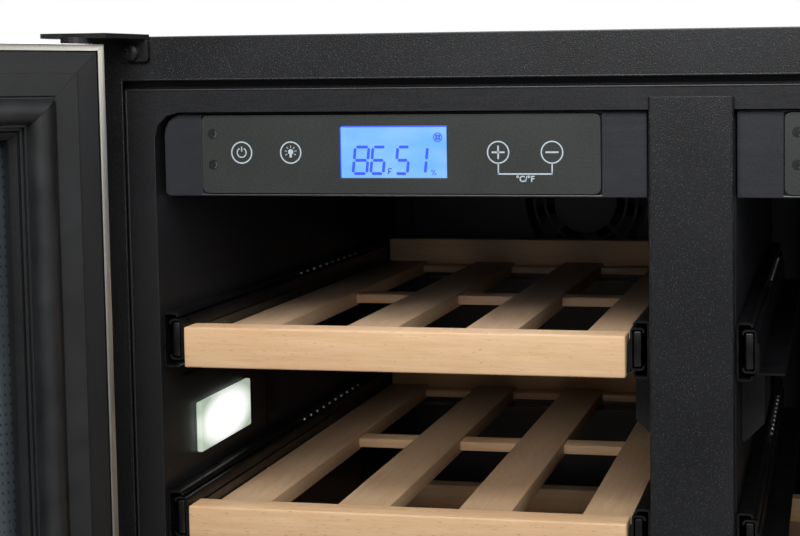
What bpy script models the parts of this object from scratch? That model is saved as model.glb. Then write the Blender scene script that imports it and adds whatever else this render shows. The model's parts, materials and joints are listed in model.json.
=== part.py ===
"""Built-in wine cooler with two temperature zones, French doors and sliding beech shelves.

Metres, +Z up. X runs from the middle of the centre post, Y inwards from the cabinet's front face and Z up
from the floor. Everything hangs on one empty, which puts the origin under the middle of the whole object.
Both doors stand open; every other joint is at its closed or pushed-in end. The right zone's top shelf is
lifted out, with its fixed slides left on the walls.
"""

import math

import bmesh
import bpy
from mathutils import Matrix, Vector

# Cabinet
WIDTH = 0.750
HEIGHT = 0.868
DEPTH = 0.545
SHEET = 0.0015
FOOT_HEIGHT = 0.0223
SIDE_FLANGE = 0.0216
TOP_FLANGE = 0.0273
BASE_BAY_TOP = 0.160
BOTTOM_FLANGE_TOP = 0.183
TOE_OPENING_TOP = 0.1495
TOE_SIDE = 0.045

# Liner, post and divider
SIDE_WALL = 0.0405
CEILING_DROP = 0.047
FLOOR_Z = 0.200
BACK_WALL = 0.045
LINER_SKIN = 0.002
RIM_INSET = 0.0052
RIM_SIDE = 0.0189
RIM_FACE_Y = 0.004
RIM_THICKNESS = 0.008
RIM_CORNER = 0.016
DIVIDER_WIDTH = 0.051
POST_WIDTH = 0.050
POST_TOP_DROP = 0.0395
POST_PLATE = 0.0037
POST_FOLD = 0.0018

# Controls
HOUSING_HEIGHT = 0.0516
HOUSING_DEPTH = 0.110
HOUSING_FRONT_Y = 0.008
HOUSING_WALL_GAP = 0.0045
HOUSING_CORNER = 0.014
HOUSING_CHAMFER = 0.002
CORNER_STEPS = 5
HOUSING_POST_GAP = 0.0008
PANEL_CORNER = 0.004
PANEL_OUTER_MARGIN = 0.025
PANEL_POST_MARGIN = 0.0277
PANEL_HEIGHT = 0.0482
PANEL_PROUD = 0.0008
PANEL_THICKNESS = 0.0025
DISPLAY_WIDTH = 0.067
DISPLAY_HEIGHT = 0.0315
DISPLAY_THICKNESS = 0.006
DISPLAY_INSET = 0.0004
DISPLAY_OFFSET = 0.0024
DISPLAY_DROP = 0.07175

# Shelves
SHELVES = 4
LIFTED_OUT = (("right", 0), ("right", 1))
SHELF_DROP = 0.1815
LOWEST_SHELF = 0.1445
RACK_SIDE_GAP = 0.0145
RAIL_HEIGHT = 0.0255
RAIL_THICKNESS = 0.018
RAIL_EDGE = 0.0015
RAIL_FRONT_Y = 0.006
SLAT_COUNT = 4
SLAT_WIDTH = 0.0355
SLAT_THICKNESS = 0.011
SLAT_DROP = 0.0095
CROSS_BAR = (0.018, 0.007)
CROSS_BAR_Y = 0.234
CROSS_BAR_DROP = 0.0115
CROSS_BAR_INSET = 0.017
BACK_RAIL_RISE = 0.0105
BACK_RAIL_HEIGHT = 0.023
BACK_RAIL_THICKNESS = 0.016
LEDGE = (0.012, 0.006)
RACK_BACK_GAP = 0.022

# Slides
SLIDE_HEIGHT = 0.035
SLIDE_METAL = 0.0015
SLIDE_DEPTH = 0.0105
SLIDE_DROP = 0.0085
SLIDE_FRONT_Y = 0.008
SLIDE_BACK_GAP = 0.030
INNER_GAP = 0.0032
INNER_THICKNESS = 0.0087
INNER_HEIGHT = 0.026
INNER_SETBACK = (0.002, 0.012)
ANGLE_DROP = 0.006
LEG_WIDTH = 0.0158
STAY_WIDTH = 0.020
STAY_GAP = 0.002
STRIP_WIDTH = 0.020
STRIP_FRONT_Y = 0.180
STRIP_BACK_INSET = 0.050

# Air duct and fan
DUCT_FRONT_GAP = 0.030
DUCT_SIDE_MARGIN = 0.0265
DUCT_SKIN = 0.0025
DUCT_TOP_DROP = 0.006
DUCT_FLOOR_GAP = 0.004
INTAKES = 3
INTAKE_HEIGHT = 0.007
INTAKE_PITCH = 0.016
INTAKE_RISE = 0.012
INTAKE_INSET = 0.030
FAN_DROP = 0.139
FAN_SHIFT = 0.036
GRILLE_SLOTS = (0.0565, 0.0465, 0.0365)
GRILLE_SLOT_WIDTH = 0.007
GRILLE_SPOKE = 0.004
SLOT_STEPS = 6
ROTOR_GAP = 0.003
ROTOR_RADIUS = 0.050
HUB_RADIUS = 0.018
ROTOR_LENGTH = 0.014
BLADES = 7
BLADE_THICKNESS = 0.0014
BLADE_LENGTH = 0.0154
BLADE_PITCH = math.radians(38)

# Lamps
LENS_Y = (0.051, 0.1325)
LENS_DROP = 0.032
LENS_HEIGHT = 0.0335
LENS_THICKNESS = 0.004
POD_DEPTH = 0.0145
POD_HEIGHT = 0.046
POD_CHAMFER = 0.012
LENS_CORNER = 0.002

# Doors
DOOR_OPEN = math.radians(130)
DOOR_TOP_DROP = 0.0054
DOOR_BOTTOM = 0.150
DOOR_GAP = 0.004
DOOR_BACK_Y = -0.010
DOOR_THICKNESS = 0.0455
DOOR_RAIL = 0.056
DOOR_LIP = 0.050
DOOR_EDGE = 0.004
DOOR_CORE = 0.0155
DOOR_SKIN = 0.002
GLASS_THICKNESS = 0.028
GASKET_BAND = (0.017, 0.047)
GASKET_FACE_Y = -0.0008
HINGE_X_INSET = 0.009
HINGE_Y = -0.030
PIN_RADIUS = 0.004
PIN_LENGTH = 0.016
PIN_HOLE_SPARE = 0.002
BUSH_RADIUS = 0.009
BRACKET_PLATE = 0.0029
BRACKET_LIFT = 0.0038
BRACKET_END = 0.012
BRACKET_INNER = 0.041
BRACKET_TAPER = 0.011
BRACKET_ARM = 0.009
TAB_WIDTH = 0.0185
TAB_HEIGHT = 0.0158
TAB_THICKNESS = 0.0029
TAB_RISE = 0.002
TAB_CORNER = 0.002
HANDLE_RADIUS = 0.008
HANDLE_LENGTH = 0.440
HANDLE_STANDOFF = 0.038
HANDLE_EDGE = 0.026
HANDLE_POST_INSET = 0.040
HANDLE_POST_RADIUS = 0.0056

# Base
TOE_LOUVRES = 7
TOE_LOUVRE_HEIGHT = 0.006
TOE_LOUVRE_MARGIN = 0.020
TOE_COLUMNS = 2
TOE_GRILLE_THICKNESS = 0.0027
TOE_GRILLE_GAP = 0.0015
TOE_GRILLE_RISE = 0.0085
VENT_RISE = 0.020
PAN_SHEET = 0.003
PAN_FRONT_Y = 0.0035
FOOT_RADIUS = 0.019
FOOT_TOP_RADIUS = 0.0152
FOOT_SOLE = 0.009
NUT_RADIUS = 0.010
NUT_TOP = 0.016
STEM_RADIUS = 0.005
STEM_TOP = 0.050
FOOT_INSET = (0.060, 0.070)
COMPRESSOR_RADIUS = 0.058
COMPRESSOR_HEIGHT = 0.118
COMPRESSOR_DOME = 0.030
COMPRESSOR_BACK = 0.140

GAP = 0.0003
LAP = 0.0004  # how far shapes that are joined reach into each other
PAST = 0.010  # how far a cutter reaches past what it cuts

# Worked out from the sizes above
HALF = WIDTH / 2
LINER_X = HALF - SIDE_WALL
POST_X = DIVIDER_WIDTH / 2
ZONE_X = (LINER_X + POST_X) / 2
ZONE_WIDTH = LINER_X - POST_X
CEILING_Z = HEIGHT - CEILING_DROP
LINER_BACK_Y = DEPTH - BACK_WALL
DUCT_Y = LINER_BACK_Y - DUCT_FRONT_GAP
RACK_WIDTH = ZONE_WIDTH - 2 * RACK_SIDE_GAP
RACK_BACK_Y = DUCT_Y - RACK_BACK_GAP
TOP_SHELF_Z = HEIGHT - SHELF_DROP
SHELF_PITCH = (TOP_SHELF_Z - FLOOR_Z - LOWEST_SHELF) / (SHELVES - 1)
DOOR_TOP = HEIGHT - DOOR_TOP_DROP
DOOR_WIDTH = HALF - DOOR_GAP / 2
DOOR_FRONT_Y = DOOR_BACK_Y - DOOR_THICKNESS
ZONES = (("left", -1), ("right", 1))

for stale in list(bpy.data.objects):
    bpy.data.objects.remove(stale)
parts = bpy.data.collections.new("wine_cooler")
bpy.context.scene.collection.children.link(parts)


def principled(name, colour, roughness, metallic=0.0, alpha=1.0):
    material = bpy.data.materials.new(name)
    material.use_nodes = True
    shader = material.node_tree.nodes["Principled BSDF"]
    shader.inputs["Base Color"].default_value = (*colour, 1.0)
    shader.inputs["Roughness"].default_value = roughness
    shader.inputs["Metallic"].default_value = metallic
    shader.inputs["Alpha"].default_value = alpha
    return material


FINISHES = {
    "black_steel": principled("black powder-coated steel", (0.012, 0.012, 0.014), 0.55),
    "foam": principled("polyurethane foam", (0.75, 0.68, 0.45), 0.9),
    "charcoal": principled("charcoal ABS", (0.035, 0.036, 0.040), 0.42),
    "overlay": principled("control overlay", (0.035, 0.038, 0.036), 0.5),
    "lcd": principled("blue liquid crystal display", (0.25, 0.5, 1.0), 0.2),
    "beech": principled("beech", (0.72, 0.50, 0.29), 0.5),
    "slide": principled("black slide steel", (0.010, 0.010, 0.011), 0.3, 1.0),
    "stainless": principled("brushed stainless steel", (0.55, 0.54, 0.51), 0.35, 1.0),
    "glass": principled("tinted glass", (0.15, 0.17, 0.18), 0.05, 0.0, 0.35),
    "gasket": principled("gasket rubber", (0.018, 0.019, 0.020), 0.6),
    "lens": principled("frosted lamp lens", (0.9, 0.93, 0.9), 0.4),
    "rotor": principled("black rotor plastic", (0.015, 0.015, 0.016), 0.4),
    "hinge": principled("black hinge steel", (0.012, 0.012, 0.013), 0.5, 1.0),
}


def empty(name, place, parent=None):
    """A mark that its pieces hang on, with a moving body's empty on the joint's axis."""
    mark = bpy.data.objects.new(name, None)
    mark.location = place
    mark.parent = parent
    parts.objects.link(mark)
    return mark


def from_bmesh(name, shape):
    mesh = bpy.data.meshes.new(name)
    shape.to_mesh(mesh)
    shape.free()
    obj = bpy.data.objects.new(name, mesh)
    parts.objects.link(obj)
    return obj


def block(name, x, y, z, rounded=None):
    """A box between the pairs x, y and z. rounded is (axis, radius, segments) for edges along that axis."""
    shape = bmesh.new()
    bmesh.ops.create_cube(shape, size=1.0)
    size = Vector((abs(x[1] - x[0]), abs(y[1] - y[0]), abs(z[1] - z[0])))
    middle = Vector((sum(x) / 2, sum(y) / 2, sum(z) / 2))
    place = Matrix.Translation(middle) @ Matrix.Diagonal((*size, 1))
    bmesh.ops.transform(shape, matrix=place, verts=shape.verts)
    if rounded:
        axis, radius, segments = rounded
        along = [edge for edge in shape.edges if abs(edge.verts[0].co[axis] - edge.verts[1].co[axis]) > GAP]
        bmesh.ops.bevel(shape, geom=along, offset=radius, segments=segments, profile=0.5, affect="EDGES")
    return from_bmesh(name, shape)


def rod(name, start, end, radius, sides=24, end_radius=None):
    """A cylinder, or a cone with end_radius, between two points."""
    start, end = Vector(start), Vector(end)
    shape = bmesh.new()
    bmesh.ops.create_cone(
        shape,
        cap_ends=True,
        segments=sides,
        radius1=radius,
        radius2=radius if end_radius is None else end_radius,
        depth=(end - start).length,
    )
    turn = Vector((0, 0, 1)).rotation_difference(end - start).to_matrix().to_4x4()
    bmesh.ops.transform(shape, matrix=Matrix.Translation((start + end) / 2) @ turn, verts=shape.verts)
    return from_bmesh(name, shape)


def prism(name, outline, z):
    """A flat outline of X and Y points, given anticlockwise, between the heights z."""
    shape = bmesh.new()
    face = shape.faces.new([shape.verts.new((x, y, z[0])) for x, y in outline])
    face.normal_flip()
    top = bmesh.ops.extrude_face_region(shape, geom=[face])
    moved = [item for item in top["geom"] if isinstance(item, bmesh.types.BMVert)]
    bmesh.ops.translate(shape, vec=(0, 0, z[1] - z[0]), verts=moved)
    bmesh.ops.recalc_face_normals(shape, faces=shape.faces)
    return from_bmesh(name, shape)


def combine(target, operation, others):
    """Booleans the others into the target one by one, and removes them."""
    for other in others:
        modifier = target.modifiers.new(operation.lower(), "BOOLEAN")
        modifier.operation = operation
        modifier.solver = "EXACT"
        modifier.object = other
        graph = bpy.context.evaluated_depsgraph_get()
        mesh = bpy.data.meshes.new_from_object(target.evaluated_get(graph))
        target.modifiers.remove(modifier)
        target.data = mesh
        bpy.data.objects.remove(other)
    return target


def cut(target, *others):
    return combine(target, "DIFFERENCE", others)


def join(target, *others):
    return combine(target, "UNION", others)


def finish(obj, finish_name, parent):
    """Gives a piece its material, its smooth round faces and its place."""
    obj.data.materials.clear()
    obj.data.materials.append(FINISHES[finish_name])
    obj.data.shade_smooth()
    obj.data.set_sharp_from_angle(angle=math.radians(35))
    obj.parent = parent
    return obj


def copy_of(obj, name, parent=None):
    """A piece of its own that shares a mesh with one already made."""
    twin = bpy.data.objects.new(name, obj.data)
    twin.parent = parent
    parts.objects.link(twin)
    return twin


def mirrored(obj, name):
    """The left-handed twin of a piece, with its faces turned back outwards."""
    shape = bmesh.new()
    shape.from_mesh(obj.data)
    bmesh.ops.transform(shape, matrix=Matrix.Diagonal((-1, 1, 1, 1)), verts=shape.verts)
    bmesh.ops.reverse_faces(shape, faces=shape.faces)
    return from_bmesh(name, shape)


def cabinet_shell(root):
    shell = block("cabinet_shell", (-HALF, HALF), (0, DEPTH), (FOOT_HEIGHT, HEIGHT))
    inside = block(
        "inside", (SHEET - HALF, HALF - SHEET), (SHEET, DEPTH - SHEET), (FOOT_HEIGHT - PAST, HEIGHT - SHEET)
    )
    doorway_x = HALF - SIDE_FLANGE
    doorway_z = (BOTTOM_FLANGE_TOP, HEIGHT - TOP_FLANGE)
    doorway = block("doorway", (-doorway_x, doorway_x), (-PAST, PAST), doorway_z)
    toe_x = HALF - TOE_SIDE
    toe = block("toe", (-toe_x, toe_x), (-PAST, PAST), (FOOT_HEIGHT - PAST, TOE_OPENING_TOP))
    vent_z = (FOOT_HEIGHT + VENT_RISE, TOE_OPENING_TOP)
    vent = block("vent", (-toe_x, toe_x), (DEPTH - PAST, DEPTH + PAST), vent_z)
    finish(cut(shell, inside, doorway, toe, vent), "black_steel", root)


def insulation(root):
    skin_x = LINER_X + LINER_SKIN + GAP
    foam = block(
        "insulation_foam",
        (SHEET + GAP - HALF, HALF - SHEET - GAP),
        (RIM_FACE_Y + RIM_THICKNESS + GAP, DEPTH - SHEET - GAP),
        (BASE_BAY_TOP, HEIGHT - SHEET - GAP),
    )
    well = block(
        "well",
        (-skin_x, skin_x),
        (-PAST, LINER_BACK_Y + LINER_SKIN + GAP),
        (FLOOR_Z - LINER_SKIN - GAP, CEILING_Z + LINER_SKIN + GAP),
    )
    finish(cut(foam, well), "foam", root)


def liner(root):
    tub = block(
        "inner_liner",
        (-LINER_X - LINER_SKIN, LINER_X + LINER_SKIN),
        (RIM_FACE_Y, LINER_BACK_Y + LINER_SKIN),
        (FLOOR_Z - LINER_SKIN, CEILING_Z + LINER_SKIN),
    )
    rim_x = LINER_X + RIM_SIDE
    rim_z = (BOTTOM_FLANGE_TOP + RIM_INSET / 2, HEIGHT - TOP_FLANGE - RIM_INSET)
    rim = block("rim", (-rim_x, rim_x), (RIM_FACE_Y, RIM_FACE_Y + RIM_THICKNESS), rim_z)
    hollow = block(
        "hollow", (-LINER_X, LINER_X), (-PAST, LINER_BACK_Y), (FLOOR_Z, CEILING_Z), (1, RIM_CORNER, 3)
    )
    finish(cut(join(tub, rim), hollow), "charcoal", root)


def divider(root):
    wall = block(
        "divider_wall",
        (-POST_X, POST_X),
        (RIM_FACE_Y + RIM_THICKNESS, LINER_BACK_Y - GAP),
        (FLOOR_Z + GAP, CEILING_Z - GAP),
    )
    finish(wall, "charcoal", root)
    half = POST_WIDTH / 2
    turns = [step * math.pi / 6 for step in range(4)]
    fold = [(half - POST_FOLD * (1 - math.cos(turn)), POST_FOLD * (1 - math.sin(turn))) for turn in turns]
    outline = [(-x, y) for x, y in fold] + fold[::-1] + [(half, POST_PLATE), (-half, POST_PLATE)]
    plate = prism("centre_post", outline, (BOTTOM_FLANGE_TOP + 2 * RIM_INSET, HEIGHT - POST_TOP_DROP))
    core_x = POST_WIDTH / 2 - SHEET
    core = block(
        "core",
        (-core_x, core_x),
        (POST_PLATE - LAP, RIM_FACE_Y + RIM_THICKNESS - GAP),
        (FLOOR_Z + 2 * GAP, CEILING_Z - 2 * GAP),
    )
    finish(join(plate, core), "black_steel", root)


def controls(side, sign, root):
    outer = LINER_X - HOUSING_WALL_GAP
    inner = POST_X + HOUSING_POST_GAP
    top = CEILING_Z - GAP
    bottom = top - HOUSING_HEIGHT
    turns = [math.pi / 2 * step / CORNER_STEPS for step in range(CORNER_STEPS + 1)]
    outline = [(inner, bottom), (outer - HOUSING_CHAMFER, bottom), (outer, bottom + HOUSING_CHAMFER)]
    for turn in turns:
        across, down = HOUSING_CORNER * (1 - math.cos(turn)), HOUSING_CORNER * (1 - math.sin(turn))
        outline.append((outer - across, top - down))
    outline.append((inner, top))
    housing_z = (-HOUSING_FRONT_Y - HOUSING_DEPTH, -HOUSING_FRONT_Y)
    housing = prism(f"control_housing_{side}", [(sign * x, z) for x, z in outline], housing_z)
    housing.data.transform(Matrix.Rotation(math.pi / 2, 4, "X"))
    panel_x = (sign * (inner + PANEL_POST_MARGIN), sign * (outer - PANEL_OUTER_MARGIN))
    panel_z = (top - (HOUSING_HEIGHT + PANEL_HEIGHT) / 2, top - (HOUSING_HEIGHT - PANEL_HEIGHT) / 2)
    panel_y = HOUSING_FRONT_Y - PANEL_PROUD
    low_x, high_x = min(panel_x), max(panel_x)
    pocket = block(
        "pocket",
        (low_x - GAP, high_x + GAP),
        (panel_y - PAST, panel_y + PANEL_THICKNESS + GAP),
        (panel_z[0] - GAP, panel_z[1] + GAP),
    )
    middle_x = (low_x + high_x) / 2 + sign * DISPLAY_OFFSET
    middle_z = HEIGHT - DISPLAY_DROP
    lcd_x = (middle_x - DISPLAY_WIDTH / 2, middle_x + DISPLAY_WIDTH / 2)
    lcd_z = (middle_z - DISPLAY_HEIGHT / 2, middle_z + DISPLAY_HEIGHT / 2)
    lcd_y = (panel_y + DISPLAY_INSET, panel_y + DISPLAY_INSET + DISPLAY_THICKNESS)
    socket = block(
        "socket",
        (lcd_x[0] - GAP, lcd_x[1] + GAP),
        (panel_y - PAST, lcd_y[1] + GAP),
        (lcd_z[0] - GAP, lcd_z[1] + GAP),
    )
    panel_depth = (panel_y, panel_y + PANEL_THICKNESS)
    panel = block(f"control_panel_{side}", panel_x, panel_depth, panel_z, (1, PANEL_CORNER, 3))
    window = copy_of(socket, "window")
    finish(cut(housing, pocket, socket), "charcoal", root)
    finish(cut(panel, window), "overlay", root)
    finish(block(f"display_{side}", lcd_x, lcd_y, lcd_z), "lcd", root)


def rack_mesh():
    """The beech rack: front rail, slats, cross bar and back rail in one frame. Z is from the rail's top."""
    half = RACK_WIDTH / 2
    slat_z = (-SLAT_DROP - SLAT_THICKNESS, -SLAT_DROP)
    rail_back = RAIL_FRONT_Y + RAIL_THICKNESS
    rack = block("rack", (-half, half), (RAIL_FRONT_Y, rail_back), (-RAIL_HEIGHT, 0), (0, RAIL_EDGE, 2))
    back_y = (RACK_BACK_Y - BACK_RAIL_THICKNESS, RACK_BACK_Y)
    pitch = (RACK_WIDTH - SLAT_WIDTH) / (SLAT_COUNT - 1)
    for number in range(SLAT_COUNT):
        left = number * pitch - half
        join(rack, block("slat", (left, left + SLAT_WIDTH), (rail_back - LAP, back_y[0] + LAP), slat_z))
    bar_z = (-CROSS_BAR_DROP - CROSS_BAR[1], -CROSS_BAR_DROP)
    bar_x = half - CROSS_BAR_INSET
    join(rack, block("bar", (-bar_x, bar_x), (CROSS_BAR_Y, CROSS_BAR_Y + CROSS_BAR[0]), bar_z))
    back_z = (BACK_RAIL_RISE - BACK_RAIL_HEIGHT, BACK_RAIL_RISE)
    join(rack, block("back_rail", (-half, half), back_y, back_z))
    ledge_z = (back_z[0] - LEDGE[1], back_z[0] + LAP)
    return join(rack, block("ledge", (-half, half), (back_y[0] - LEDGE[0], back_y[1]), ledge_z))


def runner_mesh():
    """The sliding members with their angles under the outer slats, joined by the stay. Z as for the rack."""
    wall = ZONE_WIDTH / 2
    inner = wall - GAP - INNER_GAP
    plate = inner - INNER_THICKNESS
    back_y = DUCT_Y - SLIDE_BACK_GAP - INNER_SETBACK[1]
    leg_top = -SLAT_DROP - SLAT_THICKNESS - GAP
    leg_z = (leg_top - SLIDE_METAL, leg_top)
    leg_y = (RAIL_FRONT_Y + RAIL_THICKNESS + GAP, back_y)
    stay_end = RACK_BACK_Y - BACK_RAIL_THICKNESS - LEDGE[0] - STAY_GAP
    stay_y = (stay_end - STAY_WIDTH, stay_end)
    plate_in = plate - SLIDE_METAL
    runner = block("runner", (-plate_in, plate_in), stay_y, leg_z)
    for sign in (-1, 1):
        member_z = (-SLIDE_DROP - INNER_HEIGHT / 2, -SLIDE_DROP + INNER_HEIGHT / 2)
        member_y = (SLIDE_FRONT_Y + INNER_SETBACK[0], back_y)
        angle_z = (leg_z[0], member_z[1] - ANGLE_DROP)
        join(
            runner,
            block("angle", (sign * plate_in, sign * (plate + LAP)), member_y, angle_z),
            block("leg", (sign * (plate_in - LEG_WIDTH), sign * (plate_in + LAP)), leg_y, leg_z),
            block("member", (sign * plate, sign * inner), member_y, member_z),
        )
    return runner


def slide_ladder_mesh():
    """The fixed channels of one wall and the two strips that carry them, for a wall at x = 0 facing +X."""
    half = SLIDE_HEIGHT / 2
    x = (GAP, GAP + SLIDE_DEPTH)
    y = (SLIDE_FRONT_Y, DUCT_Y - SLIDE_BACK_GAP)
    strip_x = (GAP + SLIDE_METAL * 0.2, GAP + SLIDE_METAL * 0.8)
    lowest = TOP_SHELF_Z - (SHELVES - 1) * SHELF_PITCH - SLIDE_DROP
    ladder = None
    for number in range(SHELVES):
        z = lowest + number * SHELF_PITCH
        channel = block("channel", x, y, (z - half, z + half))
        trough_z = (z - half + SLIDE_METAL, z + half - SLIDE_METAL)
        cut(channel, block("trough", (GAP + SLIDE_METAL, x[1] + PAST), (-1, 1), trough_z))
        if not ladder:
            ladder = channel
            continue
        for strip_y in (STRIP_FRONT_Y, y[1] - STRIP_BACK_INSET):
            span = (strip_y - STRIP_WIDTH / 2, strip_y + STRIP_WIDTH / 2)
            strip_z = (z - SHELF_PITCH + half - 2 * SLIDE_METAL, z - half + 2 * SLIDE_METAL)
            join(ladder, block("strip", strip_x, span, strip_z))
        join(ladder, channel)
    return ladder


def shelves(root):
    rack, runner = rack_mesh(), runner_mesh()
    for piece, finish_name in ((rack, "beech"), (runner, "slide")):
        finish(piece, finish_name, root)
    for side, sign in ZONES:
        for number in range(SHELVES):
            place = (sign * ZONE_X, 0, TOP_SHELF_Z - number * SHELF_PITCH)
            shelf = empty(f"shelf_{side}_{number + 1}", place, root)
            copy_of(runner, f"shelf_{side}_{number + 1}_runners", shelf)
            if (side, number) not in LIFTED_OUT:
                copy_of(rack, f"shelf_{side}_{number + 1}_rack", shelf)
    bpy.data.objects.remove(rack)
    bpy.data.objects.remove(runner)
    facing_right = slide_ladder_mesh()
    facing_left = mirrored(facing_right, "facing_left")
    for piece in (facing_right, facing_left):
        finish(piece, "slide", root)
    places = (
        (facing_right, "slides_left_wall", -LINER_X),
        (facing_left, "slides_left_divider", -POST_X),
        (facing_right, "slides_right_divider", POST_X),
        (facing_left, "slides_right_wall", LINER_X),
    )
    for piece, name, x in places:
        copy_of(piece, name, root).location.x = x
    bpy.data.objects.remove(facing_right)
    bpy.data.objects.remove(facing_left)


def grille_slot(radius, quarter, through):
    """A cutter for the arc between two spokes of the fan's grille, round the Y axis."""
    outline = []
    rims = ((radius, range(SLOT_STEPS + 1)), (radius - GRILLE_SLOT_WIDTH, range(SLOT_STEPS, -1, -1)))
    for rim, steps in rims:
        spoke = math.asin(GRILLE_SPOKE / 2 / rim)
        for step in steps:
            sweep = spoke + (math.pi / 2 - 2 * spoke) * step / SLOT_STEPS
            angle = math.pi / 4 + quarter * math.pi / 2 + sweep
            outline.append((rim * math.cos(angle), rim * math.sin(angle)))
    slot = prism("slot", outline, (-through[1], -through[0]))
    slot.data.transform(Matrix.Rotation(math.pi / 2, 4, "X"))
    return slot


def duct_and_fan(side, sign, root):
    inner, outer = POST_X + DUCT_SIDE_MARGIN, LINER_X - DUCT_SIDE_MARGIN
    z = (FLOOR_Z + DUCT_FLOOR_GAP, CEILING_Z - DUCT_TOP_DROP)
    low_x, high_x = min(sign * inner, sign * outer), max(sign * inner, sign * outer)
    cover = block(f"duct_cover_{side}", (low_x, high_x), (DUCT_Y, LINER_BACK_Y - GAP), z)
    inside = block(
        "inside",
        (low_x + DUCT_SKIN, high_x - DUCT_SKIN),
        (DUCT_Y + DUCT_SKIN, LINER_BACK_Y + PAST),
        (z[0] + DUCT_SKIN, z[1] - DUCT_SKIN),
    )
    fan_x, fan_z = sign * (ZONE_X - FAN_SHIFT), HEIGHT - FAN_DROP
    cut(cover, inside)
    through = (DUCT_Y - PAST, DUCT_Y + DUCT_SKIN + PAST / 2)
    intake_x = (low_x + INTAKE_INSET, high_x - INTAKE_INSET)
    for slot in range(INTAKES):
        low = z[0] + INTAKE_RISE + slot * INTAKE_PITCH
        cut(cover, block("intake", intake_x, through, (low, low + INTAKE_HEIGHT)))
    for radius in GRILLE_SLOTS:
        for quarter in range(4):
            slot = grille_slot(radius, quarter, through)
            slot.data.transform(Matrix.Translation((fan_x, 0, fan_z)))
            cut(cover, slot)
    finish(cover, "charcoal", root)

    axle = empty(f"fan_{side}", (fan_x, DUCT_Y + DUCT_SKIN + ROTOR_GAP, fan_z), root)
    rotor = rod(f"fan_rotor_{side}", (0, 0, 0), (0, ROTOR_LENGTH, 0), HUB_RADIUS, 20)
    for number in range(BLADES):
        thick, long = BLADE_THICKNESS / 2, BLADE_LENGTH / 2
        blade = block("blade", (-thick, thick), (-long, long), (HUB_RADIUS - 5 * LAP, ROTOR_RADIUS))
        pitch = Matrix.Rotation(BLADE_PITCH, 4, "Z")
        spin = Matrix.Rotation(2 * math.pi * number / BLADES, 4, "Y")
        blade.data.transform(Matrix.Translation((0, ROTOR_LENGTH / 2, 0)) @ spin @ pitch)
        join(rotor, blade)
    finish(rotor, "rotor", axle)


def lamps(side, sign, root):
    slide_low = TOP_SHELF_Z - SLIDE_DROP - SLIDE_HEIGHT / 2
    lens_z = (slide_low - LENS_DROP - LENS_HEIGHT, slide_low - LENS_DROP)
    lens_x = (sign * (LINER_X - GAP - LENS_THICKNESS), sign * (LINER_X - GAP))
    finish(block(f"lamp_lens_{side}", lens_x, LENS_Y, lens_z, (0, LENS_CORNER, 2)), "lens", root)
    pod_z = (slide_low - 2 * GAP - POD_HEIGHT, slide_low - 2 * GAP)
    pod_x = (sign * (POST_X + GAP), sign * (POST_X + GAP + POD_DEPTH))
    pod = block(f"sensor_pod_{side}", pod_x, LENS_Y, pod_z)
    slope = block("slope", (-POD_HEIGHT, POD_HEIGHT), (0, DEPTH), (-POD_HEIGHT, 0))
    lean = Matrix.Rotation(-sign * math.pi / 4, 4, "Y")
    slope.data.transform(Matrix.Translation((pod_x[1], 0, pod_z[0] + POD_CHAMFER)) @ lean)
    finish(cut(pod, slope), "charcoal", root)


def hinge_bracket(side, sign, root, top):
    """A bracket with its pin, at a door's top or bottom. up points from the door towards the plate."""
    up = 1 if top else -1
    face = DOOR_TOP if top else DOOR_BOTTOM
    plate_z = sorted((face + up * BRACKET_LIFT, face + up * (BRACKET_LIFT + BRACKET_PLATE)))
    front = HINGE_Y - PIN_RADIUS
    outline = [
        (-HALF + BRACKET_INNER, -GAP),
        (-HALF + BRACKET_INNER - BRACKET_TAPER, front),
        (-HALF - BRACKET_END, front),
        (-HALF - BRACKET_END, front + BRACKET_ARM),
        (-HALF + SHEET, -GAP),
    ]
    if sign > 0:
        outline = [(-x, y) for x, y in outline]
    else:
        outline = outline[::-1]
    where = "top" if top else "bottom"
    plate = prism(f"{where}_hinge_{side}", outline, plate_z)
    outer = HALF - BRACKET_INNER
    near = plate_z[0] if top else plate_z[1]
    tab_x = (sign * outer, sign * (outer + TAB_WIDTH))
    tab_z = sorted((near + up * LAP, near - up * (TAB_HEIGHT - TAB_RISE)))
    tab = block("tab", tab_x, (-TAB_THICKNESS - GAP, -GAP), tab_z, (1, TAB_CORNER, 2))
    pin_x = sign * (HALF - HINGE_X_INSET)
    bush = rod("bush", (pin_x, HINGE_Y, near + up * LAP), (pin_x, HINGE_Y, face + up * GAP), BUSH_RADIUS, 20)
    pin = rod("pin", (pin_x, HINGE_Y, near), (pin_x, HINGE_Y, face - up * PIN_LENGTH), PIN_RADIUS, 16)
    finish(join(plate, tab, bush, pin), "hinge", root)


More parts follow.
